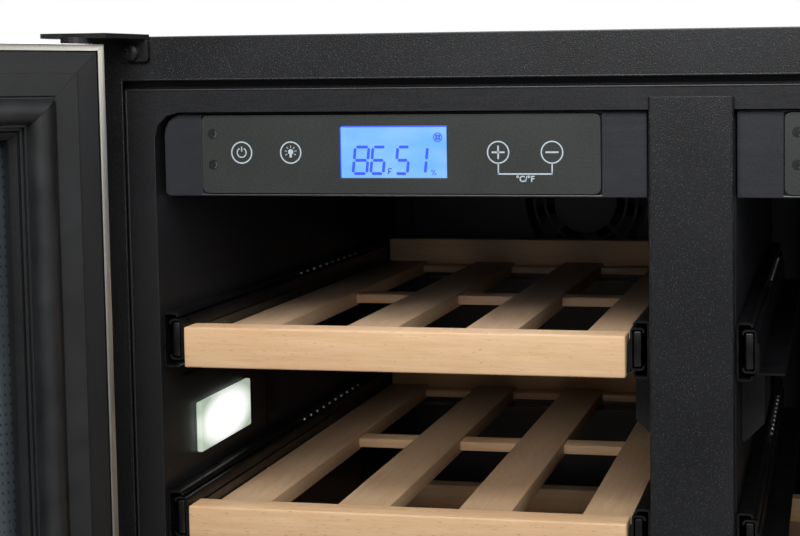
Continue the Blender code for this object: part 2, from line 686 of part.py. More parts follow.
def door(side, sign, root):
    """A door, modelled shut round its hinge axis and then turned open. x counts from the hinge side."""
    axis_x = HALF - HINGE_X_INSET
    hinge = empty(f"{side}_door", (sign * axis_x, HINGE_Y, 0), root)

    def ring(name, edges, y, rail=None, rounded=None):
        """A rectangular piece edges in from the door's outline, with a window rail wide in it, if given."""
        def span(inset):
            near, far = HALF - inset, HALF - DOOR_WIDTH + inset
            across = (sign * (near - axis_x), sign * (far - axis_x))
            return across, (DOOR_BOTTOM + inset, DOOR_TOP - inset)

        x, z = span(edges)
        piece = block(name, x, (y[0] - HINGE_Y, y[1] - HINGE_Y), z, rounded)
        if rail is not None:
            x, z = span(rail)
            cut(piece, block("window", x, (-DEPTH, DEPTH), z))
        return piece

    glass_y = (DOOR_FRONT_Y + DOOR_SKIN + GAP, DOOR_FRONT_Y + DOOR_SKIN + GAP + GLASS_THICKNESS)
    inner_y = (glass_y[1] + GAP, DOOR_BACK_Y)
    frame = ring(f"door_frame_{side}", 0, (DOOR_FRONT_Y, DOOR_BACK_Y), DOOR_LIP)
    cut(
        frame,
        ring("glass_pocket", DOOR_CORE - GAP, (glass_y[0] - GAP, PAST)),
        ring("inner_pocket", DOOR_EDGE, (inner_y[0] - GAP / 2, PAST)),
    )
    hole = PIN_LENGTH + PIN_HOLE_SPARE
    for low, high in ((DOOR_TOP - hole, DOOR_TOP + PAST), (DOOR_BOTTOM - PAST, DOOR_BOTTOM + hole)):
        cut(frame, rod("pin_hole", (0, 0, low), (0, 0, high), PIN_RADIUS + GAP, 16))
    finish(frame, "stainless", hinge)
    finish(ring(f"door_glass_{side}", DOOR_CORE, glass_y), "glass", hinge)
    inner = ring(f"door_inner_frame_{side}", DOOR_EDGE + GAP, inner_y, DOOR_RAIL)
    finish(inner, "charcoal", hinge)
    gasket = ring(f"door_gasket_{side}", GASKET_BAND[0], (DOOR_BACK_Y + GAP, GASKET_FACE_Y), GASKET_BAND[1])
    finish(gasket, "gasket", hinge)

    bar_x = sign * (HALF - DOOR_WIDTH + HANDLE_EDGE) - sign * axis_x
    bar_y = DOOR_FRONT_Y - HANDLE_STANDOFF - HINGE_Y
    middle = (DOOR_TOP + DOOR_BOTTOM) / 2
    ends = (middle - HANDLE_LENGTH / 2, middle + HANDLE_LENGTH / 2)
    handle = rod(f"door_handle_{side}", (bar_x, bar_y, ends[0]), (bar_x, bar_y, ends[1]), HANDLE_RADIUS, 20)
    foot_y = DOOR_FRONT_Y - GAP - HINGE_Y
    for z in (ends[0] + HANDLE_POST_INSET, ends[1] - HANDLE_POST_INSET):
        join(handle, rod("post", (bar_x, bar_y, z), (bar_x, foot_y, z), HANDLE_POST_RADIUS, 16))
    finish(handle, "stainless", hinge)
    hinge.rotation_euler.z = sign * DOOR_OPEN


def toe_grille(root):
    x = HALF - TOE_SIDE - TOE_GRILLE_GAP
    z = (FOOT_HEIGHT + TOE_GRILLE_RISE, TOE_OPENING_TOP - TOE_GRILLE_GAP)
    grille = block("toe_grille", (-x, x), (GAP, GAP + TOE_GRILLE_THICKNESS), z)
    pitch = (z[1] - z[0]) / (TOE_LOUVRES + 1)
    column = 2 * x / TOE_COLUMNS
    for row in range(TOE_LOUVRES):
        low = z[0] + (row + 1) * pitch - TOE_LOUVRE_HEIGHT / 2
        for place in range(TOE_COLUMNS):
            left = -x + place * column
            span = (left + TOE_LOUVRE_MARGIN, left + column - TOE_LOUVRE_MARGIN)
            cut(grille, block("louvre", span, (-PAST, PAST), (low, low + TOE_LOUVRE_HEIGHT)))
    finish(grille, "black_steel", root)


def base(root):
    edge = SHEET + GAP
    pan_z = (FOOT_HEIGHT, FOOT_HEIGHT + PAN_SHEET)
    pan = block("base_pan", (edge - HALF, HALF - edge), (PAN_FRONT_Y, DEPTH - edge), pan_z)
    corners = []
    for front_back, y in (("front", FOOT_INSET[1]), ("rear", DEPTH - FOOT_INSET[1])):
        for side, sign in ZONES:
            corners.append((f"foot_{front_back}_{side}", sign * (HALF - FOOT_INSET[0]), y))
    for name, x, y in corners:
        cut(pan, rod("hole", (x, y, 0), (x, y, STEM_TOP), STEM_RADIUS + 2 * GAP, 16))
    finish(pan, "black_steel", root)
    for name, x, y in corners:
        mark = empty(name, (x, y, 0), root)
        foot = rod(f"levelling_{name}", (0, 0, 0), (0, 0, FOOT_SOLE), FOOT_RADIUS, 20, FOOT_TOP_RADIUS)
        nut = rod("nut", (0, 0, FOOT_SOLE - LAP), (0, 0, NUT_TOP), NUT_RADIUS, 6)
        stem = rod("stem", (0, 0, FOOT_SOLE / 2), (0, 0, STEM_TOP), STEM_RADIUS, 12)
        finish(join(foot, nut, stem), "hinge", mark)


def compressor(root):
    """A turned can with a domed top, standing on the base pan at the back."""
    bottom = FOOT_HEIGHT + PAN_SHEET + GAP
    shoulder = bottom + COMPRESSOR_HEIGHT - COMPRESSOR_DOME
    points = [(0, bottom), (COMPRESSOR_RADIUS, bottom), (COMPRESSOR_RADIUS, shoulder)]
    for step in range(1, 6):
        angle = step * math.pi / 10
        points.append((COMPRESSOR_RADIUS * math.cos(angle), shoulder + COMPRESSOR_DOME * math.sin(angle)))
    shape = bmesh.new()
    verts = [shape.verts.new((radius, 0, z)) for radius, z in points[::-1]]
    for first, second in zip(verts, verts[1:]):
        shape.edges.new((first, second))
    can = from_bmesh("compressor", shape)
    turned = can.modifiers.new("turned", "SCREW")
    turned.steps = turned.render_steps = 24
    turned.use_merge_vertices = True
    turned.merge_threshold = 0.0001
    can.location = (0, DEPTH - COMPRESSOR_BACK, 0)
    finish(can, "black_steel", root)


def lowest_and_highest():
    """The corners of the box round every piece."""
    graph = bpy.context.evaluated_depsgraph_get()
    points = [
        piece.matrix_world @ Vector(corner)
        for piece in parts.objects
        if piece.type == "MESH"
        for corner in piece.evaluated_get(graph).bound_box
    ]
    return [min(p[i] for p in points) for i in range(3)], [max(p[i] for p in points) for i in range(3)]


def main():
    root = empty("wine_cooler_origin", (0, 0, 0))
    cabinet_shell(root)
    insulation(root)
    liner(root)
    divider(root)
    shelves(root)
    for side, sign in ZONES:
        controls(side, sign, root)
        duct_and_fan(side, sign, root)
        lamps(side, sign, root)
        hinge_bracket(side, sign, root, top=True)
        hinge_bracket(side, sign, root, top=False)
        door(side, sign, root)
    toe_grille(root)
    base(root)
    compressor(root)
    bpy.context.view_layer.update()
    low, high = lowest_and_highest()
    root.location.y = -(low[1] + high[1]) / 2


main()
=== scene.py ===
"""Looks of a built-in wine cooler with two temperature zones, French doors and beech shelves on ball slides.

Metres, in the CAD frame: +X right, +Y into the cabinet, +Z up. Places come from the CAD nodes' boxes.
A door's pieces are built with the door shut and then turned open about its hinge, as the CAD has it at rest.
"""

import json
import math

import bmesh
import bpy
from mathutils import Matrix, Vector


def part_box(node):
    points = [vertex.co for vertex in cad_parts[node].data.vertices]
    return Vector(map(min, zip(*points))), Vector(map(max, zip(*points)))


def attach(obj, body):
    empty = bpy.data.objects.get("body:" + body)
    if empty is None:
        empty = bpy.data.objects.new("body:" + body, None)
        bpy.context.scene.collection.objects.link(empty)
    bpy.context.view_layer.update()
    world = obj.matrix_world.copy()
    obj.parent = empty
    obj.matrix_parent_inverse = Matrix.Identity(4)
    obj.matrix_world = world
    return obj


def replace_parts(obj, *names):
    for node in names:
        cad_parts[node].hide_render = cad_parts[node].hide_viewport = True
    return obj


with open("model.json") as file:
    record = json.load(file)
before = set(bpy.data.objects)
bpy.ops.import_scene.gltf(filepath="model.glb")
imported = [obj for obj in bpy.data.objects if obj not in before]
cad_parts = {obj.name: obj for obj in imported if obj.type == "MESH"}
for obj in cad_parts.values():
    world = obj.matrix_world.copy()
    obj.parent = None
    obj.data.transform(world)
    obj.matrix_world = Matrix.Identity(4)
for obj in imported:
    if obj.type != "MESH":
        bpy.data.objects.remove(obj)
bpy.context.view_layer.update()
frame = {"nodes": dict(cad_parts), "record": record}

MM = 0.001
SHELL_LOW, SHELL_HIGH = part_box("cabinet_shell")
FRONT = SHELL_LOW.y
TOP = SHELL_HIGH.z
HALF = SHELL_HIGH.x
JOINTS = {joint["name"]: joint for joint in frame["record"]["behaviour"]["joints"]}
SIDES = (("left", -1), ("right", 1))
SHELVES = (1, 2, 3, 4)

# Cabinet front
SIDE_FLANGE = 21.6 * MM
TOP_FLANGE = 27.3 * MM
DOORWAY_BOTTOM = 0.183

# Door, with insets counted from its outline
DOOR_LOW, DOOR_HIGH = 0.150, 0.8626
DOOR_FREE_X = 2 * MM
DOOR_BACK = -10 * MM
DOOR_FACE = -55.5 * MM
PANE = 3.5 * MM
GLASS_INSET = 15.8 * MM
SPACER = (53 * MM, 65 * MM)
MITRE_GAP = 0.10 * MM

# Printing, counted from the control panel's upper left corner, in millimetres but for the icons' height
ICON_X = {"dimple": 7.4, "power": 26.2, "lamp": 58.0, "plus": 188.7, "minus": 221.6}
ICON_Z = -23.0 * MM
DIMPLES_Z = (-11.5, -30.5)

# Shelves, with Y counted from the cabinet's front
RACK_HALF = 140 * MM
RAIL_HEIGHT, RAIL_DEPTH = 25.5 * MM, 18 * MM
RAIL_Y = 6 * MM
SLAT_HALF = 17.75 * MM
SLAT_PITCH = 81.5 * MM
BACK_START, BACK_END = 432 * MM, 448 * MM
BACK_RISE = 10.5 * MM
DIVIDER_TO_RACK = 40 * MM

# Slides: the walls are counted from the shelf's middle, and X and Z from the wall and the slide's middle
WALL_X, SLIDE_Z = 154.5 * MM, -8.5 * MM
SHEET = 1.3 * MM
CAGE_SHEET = 0.6 * MM
STRIP_MIDDLES, STRIP_HALF = (180 * MM, 390 * MM), 10 * MM
BALL_RADIUS = 1.2 * MM
BALL_PITCH = 14.2 * MM
BALLS = 10
BALL_X, FIRST_BALL_Y, BALL_Z = 11.6 * MM, 217 * MM, 15.2 * MM

HEM_RADIUS = 0.7 * MM
SCREW_SIDES = 24


# ---------------------------------------------------------------- materials

NOISE, RANGE, RAMP = "ShaderNodeTexNoise", "ShaderNodeMapRange", "ShaderNodeValToRGB"
MIX, MAPPING, BUMP = "ShaderNodeMix", "ShaderNodeMapping", "ShaderNodeBump"


def linear(colour):
    """An sRGB hex colour as linear RGBA."""
    channels = [int(colour[i : i + 2], 16) / 255 for i in (1, 3, 5)]
    return (*(c / 12.92 if c <= 0.04045 else ((c + 0.055) / 1.055) ** 2.4 for c in channels), 1.0)


def add(tree, kind, inputs=(), output=0, stops=(), **settings):
    """Adds a node with its settings, colour stops and links, and returns one of its outputs.

    The inputs are values, or other nodes' outputs to link: in the sockets' order, or by socket. A stop is a
    position and a hex colour. A range takes a value, its low and high, and what those two become. A colour
    mix takes its factor at 0 and its colours at 6 and 7, and gives the mix at 2.
    """
    node = tree.nodes.new(kind)
    for name, value in settings.items():
        setattr(node, name, value)
    for position, colour in stops[1:-1]:
        node.color_ramp.elements.new(position).color = linear(colour)
    if stops:
        for end in (0, -1):
            element = node.color_ramp.elements[end]
            element.position, element.color = stops[end][0], linear(stops[end][1])
    for name, value in inputs.items() if isinstance(inputs, dict) else enumerate(inputs):
        if isinstance(value, bpy.types.NodeSocket):
            tree.links.new(value, node.inputs[name])
        else:
            node.inputs[name].default_value = value
    return node.outputs[output]


def wire(shader, **outputs):
    """Links outputs to the shader's sockets. An underscore stands for the space in a socket's name."""
    for socket, output in outputs.items():
        shader.id_data.links.new(output, shader.inputs[socket.replace("_", " ")])


def surface(name, **sockets):
    """A new material's (material, node tree, shader, object coordinates)."""
    material = bpy.data.materials.new(name)
    material.use_nodes = True
    tree = material.node_tree
    shader = tree.nodes["Principled BSDF"]
    for socket, value in sockets.items():
        shader.inputs[socket.replace("_", " ")].default_value = value
    place = add(tree, "ShaderNodeTexCoord", output="Object")
    return material, tree, shader, place


def powder_coated_steel():
    """Steel sprayed and baked with black powder: a fine orange peel, whose grain peaks get a painted
    highlight in a lighter grey.
    """
    material, tree, shader, place = surface("powder_coated_steel", Roughness=0.42)
    grain = add(tree, NOISE, {"Vector": place, "Scale": 1 / (0.75 * MM), "Roughness": 0.6})
    cloud = add(tree, NOISE, {"Vector": place, "Scale": 1 / (60 * MM)})
    base = add(tree, RAMP, (cloud,), stops=((0.3, "#0b0c0e"), (0.7, "#101114")))
    # Painted highlight: the grain's peaks are coloured a lighter grey, for the points of light they catch.
    painted_crest_glints = add(tree, RANGE, (grain, 0.60, 0.72, 0.0, 0.8))
    colour = add(tree, MIX, {0: painted_crest_glints, 6: base, 7: linear("#5b5c60")}, 2, data_type="RGBA")
    gloss = add(tree, RANGE, (cloud, 0.3, 0.7, 0.40, 0.45))
    peel = add(tree, BUMP, {"Height": grain, "Distance": 0.22 * MM, "Strength": 0.6})
    wire(shader, Base_Color=colour, Roughness=gloss, Normal=peel)
    return material


def satin_abs(name, dark, light, roughness):
    """ABS moulded in a spark-eroded tool: even satin, rubbed smoother here and there.

    The real grain is finer, and is drawn at 0.7 mm so that it shows.
    """
    material, tree, shader, place = surface(name, Roughness=roughness)
    cloud = add(tree, NOISE, {"Vector": place, "Scale": 1 / (45 * MM), "Detail": 3.0})
    grain = add(tree, NOISE, {"Vector": place, "Scale": 1 / (0.7 * MM)})
    base = add(tree, RAMP, (cloud,), stops=((0.3, dark), (0.7, light)))
    speck = add(tree, RANGE, (grain, 0.4, 0.7, 0.0, 0.10))
    colour = add(tree, MIX, {0: speck, 6: base, 7: linear("#6a6b70")}, 2, data_type="RGBA")
    flat = add(tree, MAPPING, {"Vector": place, "Scale": (1.0, 1.0, 7.0)})
    rub = add(tree, NOISE, {"Vector": flat, "Scale": 1 / (22 * MM), "Detail": 5.0, "Roughness": 0.7})
    gloss = add(tree, RANGE, (rub, 0.35, 0.75, roughness - 0.02, roughness + 0.05))
    relief = add(tree, BUMP, {"Height": grain, "Distance": 0.08 * MM, "Strength": 0.5})
    wire(shader, Base_Color=colour, Roughness=gloss, Normal=relief)
    return material


def overlay_film():
    """Screen-printed polycarbonate film: grey-green black with a velvet grain, drawn at 0.9 mm to show."""
    material, tree, shader, place = surface("control_overlay_film", Roughness=0.48)
    grain = add(tree, NOISE, {"Vector": place, "Scale": 1 / (0.9 * MM), "Roughness": 0.7})
    cloud = add(tree, NOISE, {"Vector": place, "Scale": 1 / (50 * MM)})
    base = add(tree, RAMP, (cloud,), stops=((0.3, "#232624"), (0.7, "#2b2e2c")))
    speck = add(tree, RANGE, (grain, 0.45, 0.75, 0.0, 0.22))
    colour = add(tree, MIX, {0: speck, 6: base, 7: linear("#60635f")}, 2, data_type="RGBA")
    velvet = add(tree, BUMP, {"Height": grain, "Distance": 0.10 * MM, "Strength": 0.6})
    wire(shader, Base_Color=colour, Normal=velvet)
    return material


def beech(name, along, painted_shade):
    """Steamed and sanded beech: a pale tan ground, long soft growth bands, and short darker ray flecks.

    The grain runs along one axis, and each piece is cut from another place in the plank. The fibres are
    drawn at 0.9 mm so that they show.
    """
    material, tree, shader, place = surface(name, Roughness=0.52, IOR=1.5)
    piece = add(tree, "ShaderNodeObjectInfo", output="Random")
    far = add(tree, "ShaderNodeVectorMath", {0: (7.3, 5.1, 3.7), "Scale": piece}, operation="SCALE")
    moved = add(tree, "ShaderNodeVectorMath", (place, far), operation="ADD")
    long_way = tuple(0.06 if axis == along else 1.0 for axis in range(3))
    fleck_way = tuple(0.16 if axis == along else 1.0 for axis in range(3))
    drawn = add(tree, MAPPING, {"Vector": moved, "Scale": long_way})
    bands = add(tree, NOISE, {"Vector": drawn, "Scale": 1 / (5 * MM), "Detail": 4.0, "Roughness": 0.6})
    fibres = add(tree, NOISE, {"Vector": drawn, "Scale": 1 / (0.9 * MM), "Detail": 3.0, "Roughness": 0.6})
    short = add(tree, MAPPING, {"Vector": moved, "Scale": fleck_way})
    flecks = add(tree, NOISE, {"Vector": short, "Scale": 1 / (0.8 * MM), "Detail": 1.0})
    blush = add(tree, NOISE, {"Vector": moved, "Scale": 1 / (70 * MM)})
    ground = add(tree, RAMP, (bands,), stops=((0.25, "#d3ad80"), (0.5, "#dfba90"), (0.78, "#e8c9a3")))
    layers = (
        (add(tree, RANGE, (blush, 0.35, 0.7, 0.0, 0.35)), "#d9a67c"),
        (add(tree, RANGE, (fibres, 0.5, 0.8, 0.0, 0.35)), "#c3935f"),
        (add(tree, RANGE, (piece, 0.0, 1.0, 0.0, 0.16)), "#b98d63"),
        (add(tree, RANGE, (flecks, 0.67, 0.74, 0.0, 0.55)), "#a06f45"),
        # Painted shade: a grey-brown cover that darkens the wood, over 40 to 45 percent of the slats' colour
        # and at most 5 percent elsewhere.
        (add(tree, RANGE, (blush, 0.0, 1.0, painted_shade, painted_shade + 0.05)), "#6b5c52"),
    )
    wood = ground
    for cover, tint in layers:
        wood = add(tree, MIX, {0: cover, 6: wood, 7: linear(tint)}, 2, data_type="RGBA")
    gloss = add(tree, RANGE, (fibres, 0.3, 0.8, 0.46, 0.60))
    relief = add(tree, BUMP, {"Height": fibres, "Distance": 0.12 * MM, "Strength": 0.5})
    wire(shader, Base_Color=wood, Roughness=gloss, Normal=relief)
    return material


def brushed_stainless():
    """Stainless sheet, brushed upright: bright, with fine streaks that blur its reflections one way.

    The real streaks are finer, and are drawn at 0.35 mm so that they show.
    """
    material, tree, shader, place = surface("brushed_stainless", Metallic=1.0, Roughness=0.30)
    drawn = add(tree, MAPPING, {"Vector": place, "Scale": (1.0, 1.0, 0.02)})
    streaks = add(tree, NOISE, {"Vector": drawn, "Scale": 1 / (0.35 * MM), "Detail": 3.0, "Roughness": 0.6})
    cloud = add(tree, NOISE, {"Vector": place, "Scale": 1 / (40 * MM)})
    base = add(tree, RAMP, (streaks,), stops=((0.3, "#c4c1b8"), (0.7, "#d3d0c7")))
    handled = add(tree, RANGE, (cloud, 0.3, 0.7, 0.0, 0.15))
    colour = add(tree, MIX, {0: handled, 6: base, 7: linear("#b3afa5")}, 2, data_type="RGBA")
    gloss = add(tree, RANGE, (streaks, 0.3, 0.7, 0.28, 0.34))
    relief = add(tree, BUMP, {"Height": streaks, "Distance": 0.03 * MM, "Strength": 0.4})
    wire(shader, Base_Color=colour, Roughness=gloss, Normal=relief)
    return material


def gloss_black(name, paint, roughness):
    """Electro-coated steel: thin gloss black paint that shows soft ripples of the pressed metal."""
    material, tree, shader, place = surface(name, Roughness=roughness)
    ripple = add(tree, NOISE, {"Vector": place, "Scale": 1 / (9 * MM)})
    dust = add(tree, NOISE, {"Vector": place, "Scale": 1 / (0.8 * MM), "Roughness": 0.7})
    specks = add(tree, RANGE, (dust, 0.72, 0.80, 0.0, 0.15))
    colour = add(tree, MIX, {0: specks, 6: linear(paint), 7: linear("#4b4c50")}, 2, data_type="RGBA")
    gloss = add(tree, RANGE, (ripple, 0.3, 0.7, roughness - 0.06, roughness + 0.08))
    relief = add(tree, BUMP, {"Height": ripple, "Distance": 0.02 * MM, "Strength": 0.4})
    wire(shader, Base_Color=colour, Roughness=gloss, Normal=relief)
    return material


def rubber():
    """Extruded PVC gasket: soft matt black, a little chalky where it flexes."""
    material, tree, shader, place = surface("gasket_rubber", Roughness=0.52)
    cloud = add(tree, NOISE, {"Vector": place, "Scale": 1 / (18 * MM), "Detail": 3.0})
    fine = add(tree, NOISE, {"Vector": place, "Scale": 1 / (0.8 * MM)})
    colour = add(tree, RAMP, (cloud,), stops=((0.3, "#151617"), (0.7, "#1f2022")))
    gloss = add(tree, RANGE, (cloud, 0.3, 0.7, 0.45, 0.58))
    relief = add(tree, BUMP, {"Height": fine, "Distance": 0.05 * MM, "Strength": 0.5})
    wire(shader, Base_Color=colour, Roughness=gloss, Normal=relief)
    return material


def pane_glass(name, tint, alpha):
    """Float glass with a grey solar tint: mirror-smooth, with a trace of roller wave and finger haze."""
    material, tree, shader, place = surface(name, Roughness=0.04, Alpha=alpha)
    haze = add(tree, NOISE, {"Vector": place, "Scale": 1 / (50 * MM), "Detail": 3.0})
    wave = add(tree, NOISE, {"Vector": place, "Scale": 1 / (120 * MM)})
    colour = add(tree, RAMP, (haze,), stops=((0.3, tint), (0.95, "#3a4246")))
    gloss = add(tree, RANGE, (haze, 0.4, 0.8, 0.03, 0.05))
    relief = add(tree, BUMP, {"Height": wave, "Distance": 0.15 * MM, "Strength": 0.4})
    wire(shader, Base_Color=colour, Roughness=gloss, Normal=relief)
    return material


def spacer_aluminium():
    """Roll-formed aluminium spacer: satin grey with rows of small breathing holes for the drying beads."""
    material, tree, shader, place = surface("spacer_aluminium", Metallic=1.0, Roughness=0.36)
    rows = add(tree, MAPPING, {"Vector": place, "Scale": (1.0, 1.0, 0.55)})
    grid = {"Vector": rows, "Scale": 1 / (3.2 * MM), "Randomness": 0.0}
    dots = add(tree, RANGE, (add(tree, "ShaderNodeTexVoronoi", grid, "Distance"), 0.12, 0.22, 1.0, 0.0))
    cloud = add(tree, NOISE, {"Vector": place, "Scale": 1 / (30 * MM)})
    base = add(tree, RAMP, (cloud,), stops=((0.3, "#8b949a"), (0.7, "#a3acb2")))
    colour = add(tree, MIX, {0: dots, 6: base, 7: linear("#3c4247")}, 2, data_type="RGBA")
    relief = add(tree, BUMP, {"Height": cloud, "Distance": 0.05 * MM, "Strength": 0.4})
    wire(shader, Base_Color=colour, Normal=relief)
    return material


def glowing(name, edge, heart, strength, size):
    """A lit, frosted cover: brightest in the middle and greyer towards its moulded border."""
    material, tree, shader, place = surface(name, Roughness=0.35, Emission_Strength=strength)
    local = add(tree, MAPPING, {"Vector": place, "Scale": tuple(1 / side for side in size)})
    away = add(tree, "ShaderNodeVectorMath", (local,), "Value", operation="LENGTH")
    mottle = add(tree, NOISE, {"Vector": place, "Scale": 1 / (6 * MM)})
    faded = add(tree, RANGE, (away, 0.45, 1.0, 0.0, 1.0))
    glow = add(tree, MIX, {0: faded, 6: linear(heart), 7: linear(edge)}, 2, data_type="RGBA")
    specks = add(tree, RANGE, (mottle, 0.3, 0.8, 0.0, 0.06))
    soft = add(tree, MIX, {0: specks, 6: glow, 7: linear(edge)}, 2, data_type="RGBA")
    wire(shader, Emission_Color=soft, Base_Color=soft)
    return material


def backlit_display():
    """A blue backlight behind liquid crystal: pale sky blue with slanting cloudy streaks."""
    material, tree, shader, place = surface("backlit_display", Roughness=0.18, Emission_Strength=0.68)
    shader.inputs["Base Color"].default_value = linear("#3a6fb8")
    slant = {"Vector": place, "Rotation": (0, math.radians(38), 0), "Scale": (0.35, 1, 1)}
    turned = add(tree, MAPPING, slant)
    cloud = add(tree, NOISE, {"Vector": turned, "Scale": 1 / (9 * MM), "Detail": 1.0})
    wire(shader, Emission_Color=add(tree, RAMP, (cloud,), stops=((0.3, "#7fbaff"), (0.7, "#9fccff"))))
    return material


def printed(name, ink, glow=0.0):
    """Screen-printed ink, a little uneven in its cover."""
    material, tree, shader, place = surface(name, Roughness=0.5, Emission_Strength=glow)
    cover = add(tree, NOISE, {"Vector": place, "Scale": 1 / (0.8 * MM)})
    thin = add(tree, RANGE, (cover, 0.3, 0.8, 0.0, 0.2))
    colour = add(tree, MIX, {0: thin, 6: linear(ink), 7: linear("#6f7a84")}, 2, data_type="RGBA")
    wire(shader, Base_Color=colour)
    if glow:
        wire(shader, Emission_Color=colour)
    return material


def bright_steel():
    """Hardened ball steel under a film of grease, which softens its shine."""
    material, tree, shader, place = surface("ball_steel", Metallic=1.0, Roughness=0.38)
    grease = add(tree, NOISE, {"Vector": place, "Scale": 1 / (2 * MM)})
    wire(shader, Base_Color=add(tree, RAMP, (grease,), stops=((0.3, "#e6e8ea"), (0.7, "#f4f5f6"))))
    return material


def lit_plastic(name, light, strength):
    """A diffusing cover lit from behind, with a trace of the diodes' spacing. On the sensor pods it glows as
    a painted reflection.
    """
    material, tree, shader, place = surface(name, Roughness=0.4, Emission_Strength=strength)
    spots = add(tree, NOISE, {"Vector": place, "Scale": 1 / (9 * MM)})
    dimmed = add(tree, RANGE, (spots, 0.3, 0.8, 0.0, 0.15))
    colour = add(tree, MIX, {0: dimmed, 6: linear(light), 7: linear("#c8d0d8")}, 2, data_type="RGBA")
    wire(shader, Emission_Color=colour, Base_Color=colour)
    return material


def foam():
    """Foamed-in-place polyurethane: straw-coloured, finely blistered."""
    material, tree, shader, place = surface("polyurethane_foam", Roughness=0.9)
    cells = add(tree, NOISE, {"Vector": place, "Scale": 1 / (3 * MM), "Detail": 3.0})
    colour = add(tree, RAMP, (cells,), stops=((0.3, "#c9b67e"), (0.7, "#e6d7a4")))
    relief = add(tree, BUMP, {"Height": cells, "Distance": 0.6 * MM, "Strength": 0.8})
    wire(shader, Base_Color=colour, Normal=relief)
    return material


POWDER = powder_coated_steel()
LINER = satin_abs("liner_abs", "#0d0d0f", "#121315", 0.40)
HOUSING = satin_abs("control_housing_abs", "#1f2024", "#25262b", 0.38)
DOOR_ABS = satin_abs("door_inner_abs", "#0b0c0d", "#101112", 0.42)
BLACK_ABS = satin_abs("black_abs", "#101113", "#17181a", 0.38)
OVERLAY = overlay_film()
BEECH_ACROSS = beech("beech_across", 0, 0.0)
# The slats' beech is darkened by painted shade, a grey-brown cover over about two fifths of its colour.
BEECH_DEEP = beech("beech_front_to_back", 1, 0.40)
STAINLESS = brushed_stainless()
SLIDE_BLACK = gloss_black("slide_electrocoat", "#0a0a0b", 0.33)
HINGE_BLACK = gloss_black("hinge_black_paint", "#131315", 0.42)
ENAMEL = gloss_black("compressor_enamel", "#101114", 0.22)
RUBBER = rubber()
OUTER_PANE = pane_glass("outer_pane_glass", "#0c0f10", 0.62)
INNER_PANE = pane_glass("inner_pane_glass", "#3c454a", 0.26)
SPACER_METAL = spacer_aluminium()
LCD = backlit_display()
INK = printed("pale_ink", "#b9c6ce")
# Painted highlight: the light crescent on each dimple's rim.
DIMPLE_GLINT_PAINT = printed("painted_dimple_glint", "#55575b")
SEGMENT = printed("display_segment", "#1f47d8", 0.42)
FAINT_SEGMENT = printed("display_faint_segment", "#5e93ea", 0.80)
BALL_STEEL = bright_steel()
FOAM = foam()
LIGHT_BAR = lit_plastic("light_bar", "#dfe8ff", 12.0)
# Painted reflection: a faint blue glow on the sensor pods' tops, standing for the display's light.
BLUE_PAINTED_REFLECTION = lit_plastic("painted_blue_reflection", "#2a3cc0", 0.5)


# ---------------------------------------------------------------- shapes

def placed(name, mesh, material, body, at=(0, 0, 0)):
    """An object of the mesh, dressed and put at a place in the row frame, that moves with the body."""
    obj = bpy.data.objects.new(name, mesh)
    bpy.context.scene.collection.objects.link(obj)
    obj.location = at
    if not mesh.materials:
        mesh.materials.append(material)
    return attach(obj, body)


def mesh_of(shape, name, smooth=35):
    """The bmesh as a mesh whose faces are smooth but for edges sharper than so many degrees."""
    mesh = bpy.data.meshes.new(name)
    bmesh.ops.recalc_face_normals(shape, faces=shape.faces)
    shape.to_mesh(mesh)
    shape.free()
    mesh.shade_smooth()
    mesh.set_sharp_from_angle(angle=math.radians(smooth))
    return mesh


def add_block(shape, x, y, z, edge=0.0, segments=2):
    """Adds a box between the pairs x, y and z, with its edges rounded off by the edge radius."""
    made = bmesh.ops.create_cube(shape, size=1.0)["verts"]
    size = (abs(x[1] - x[0]), abs(y[1] - y[0]), abs(z[1] - z[0]), 1)
    middle = (sum(x) / 2, sum(y) / 2, sum(z) / 2)
    bmesh.ops.transform(shape, matrix=Matrix.Translation(middle) @ Matrix.Diagonal(size), verts=made)
    if edge:
        edges = list({e for v in made for e in v.link_edges})
        bmesh.ops.bevel(shape, geom=edges, offset=edge, segments=segments, profile=0.5, affect="EDGES")


def block(name, x, y, z, edge=0.0, segments=2):
    """The mesh of one rounded box."""
    shape = bmesh.new()
    add_block(shape, x, y, z, edge, segments)
    return mesh_of(shape, name)


def add_rod(shape, start, end, radius, sides):
    """Adds a cylinder between two points."""
    start, end = Vector(start), Vector(end)
    size = {"radius1": radius, "radius2": radius, "depth": (end - start).length}
    made = bmesh.ops.create_cone(shape, cap_ends=True, segments=sides, **size)["verts"]
    turn = Vector((0, 0, 1)).rotation_difference(end - start).to_matrix().to_4x4()
    bmesh.ops.transform(shape, matrix=Matrix.Translation((start + end) / 2) @ turn, verts=made)


def add_extrusion(shape, outline, y):
    """Adds a bar between the two y that has the closed outline of (x, z) points."""
    near, far = ([shape.verts.new((px, py, pz)) for px, pz in outline] for py in y)
    shape.faces.new(near)
    shape.faces.new(far[::-1])
    for i, vert in enumerate(near):
        shape.faces.new((vert, near[i - 1], far[i - 1], far[i]))


def sheet_outline(path, thickness):
    """The closed outline of sheet metal bent along a path of (x, z) points."""
    points = [Vector(point) for point in path]
    left, right = [], []
    for i, point in enumerate(points):
        along = (points[min(i + 1, len(points) - 1)] - points[max(i - 1, 0)]).normalized()
        side = Vector((-along.y, along.x)) * thickness / 2
        left.append(point + side)
        right.append(point - side)
    return left + right[::-1]


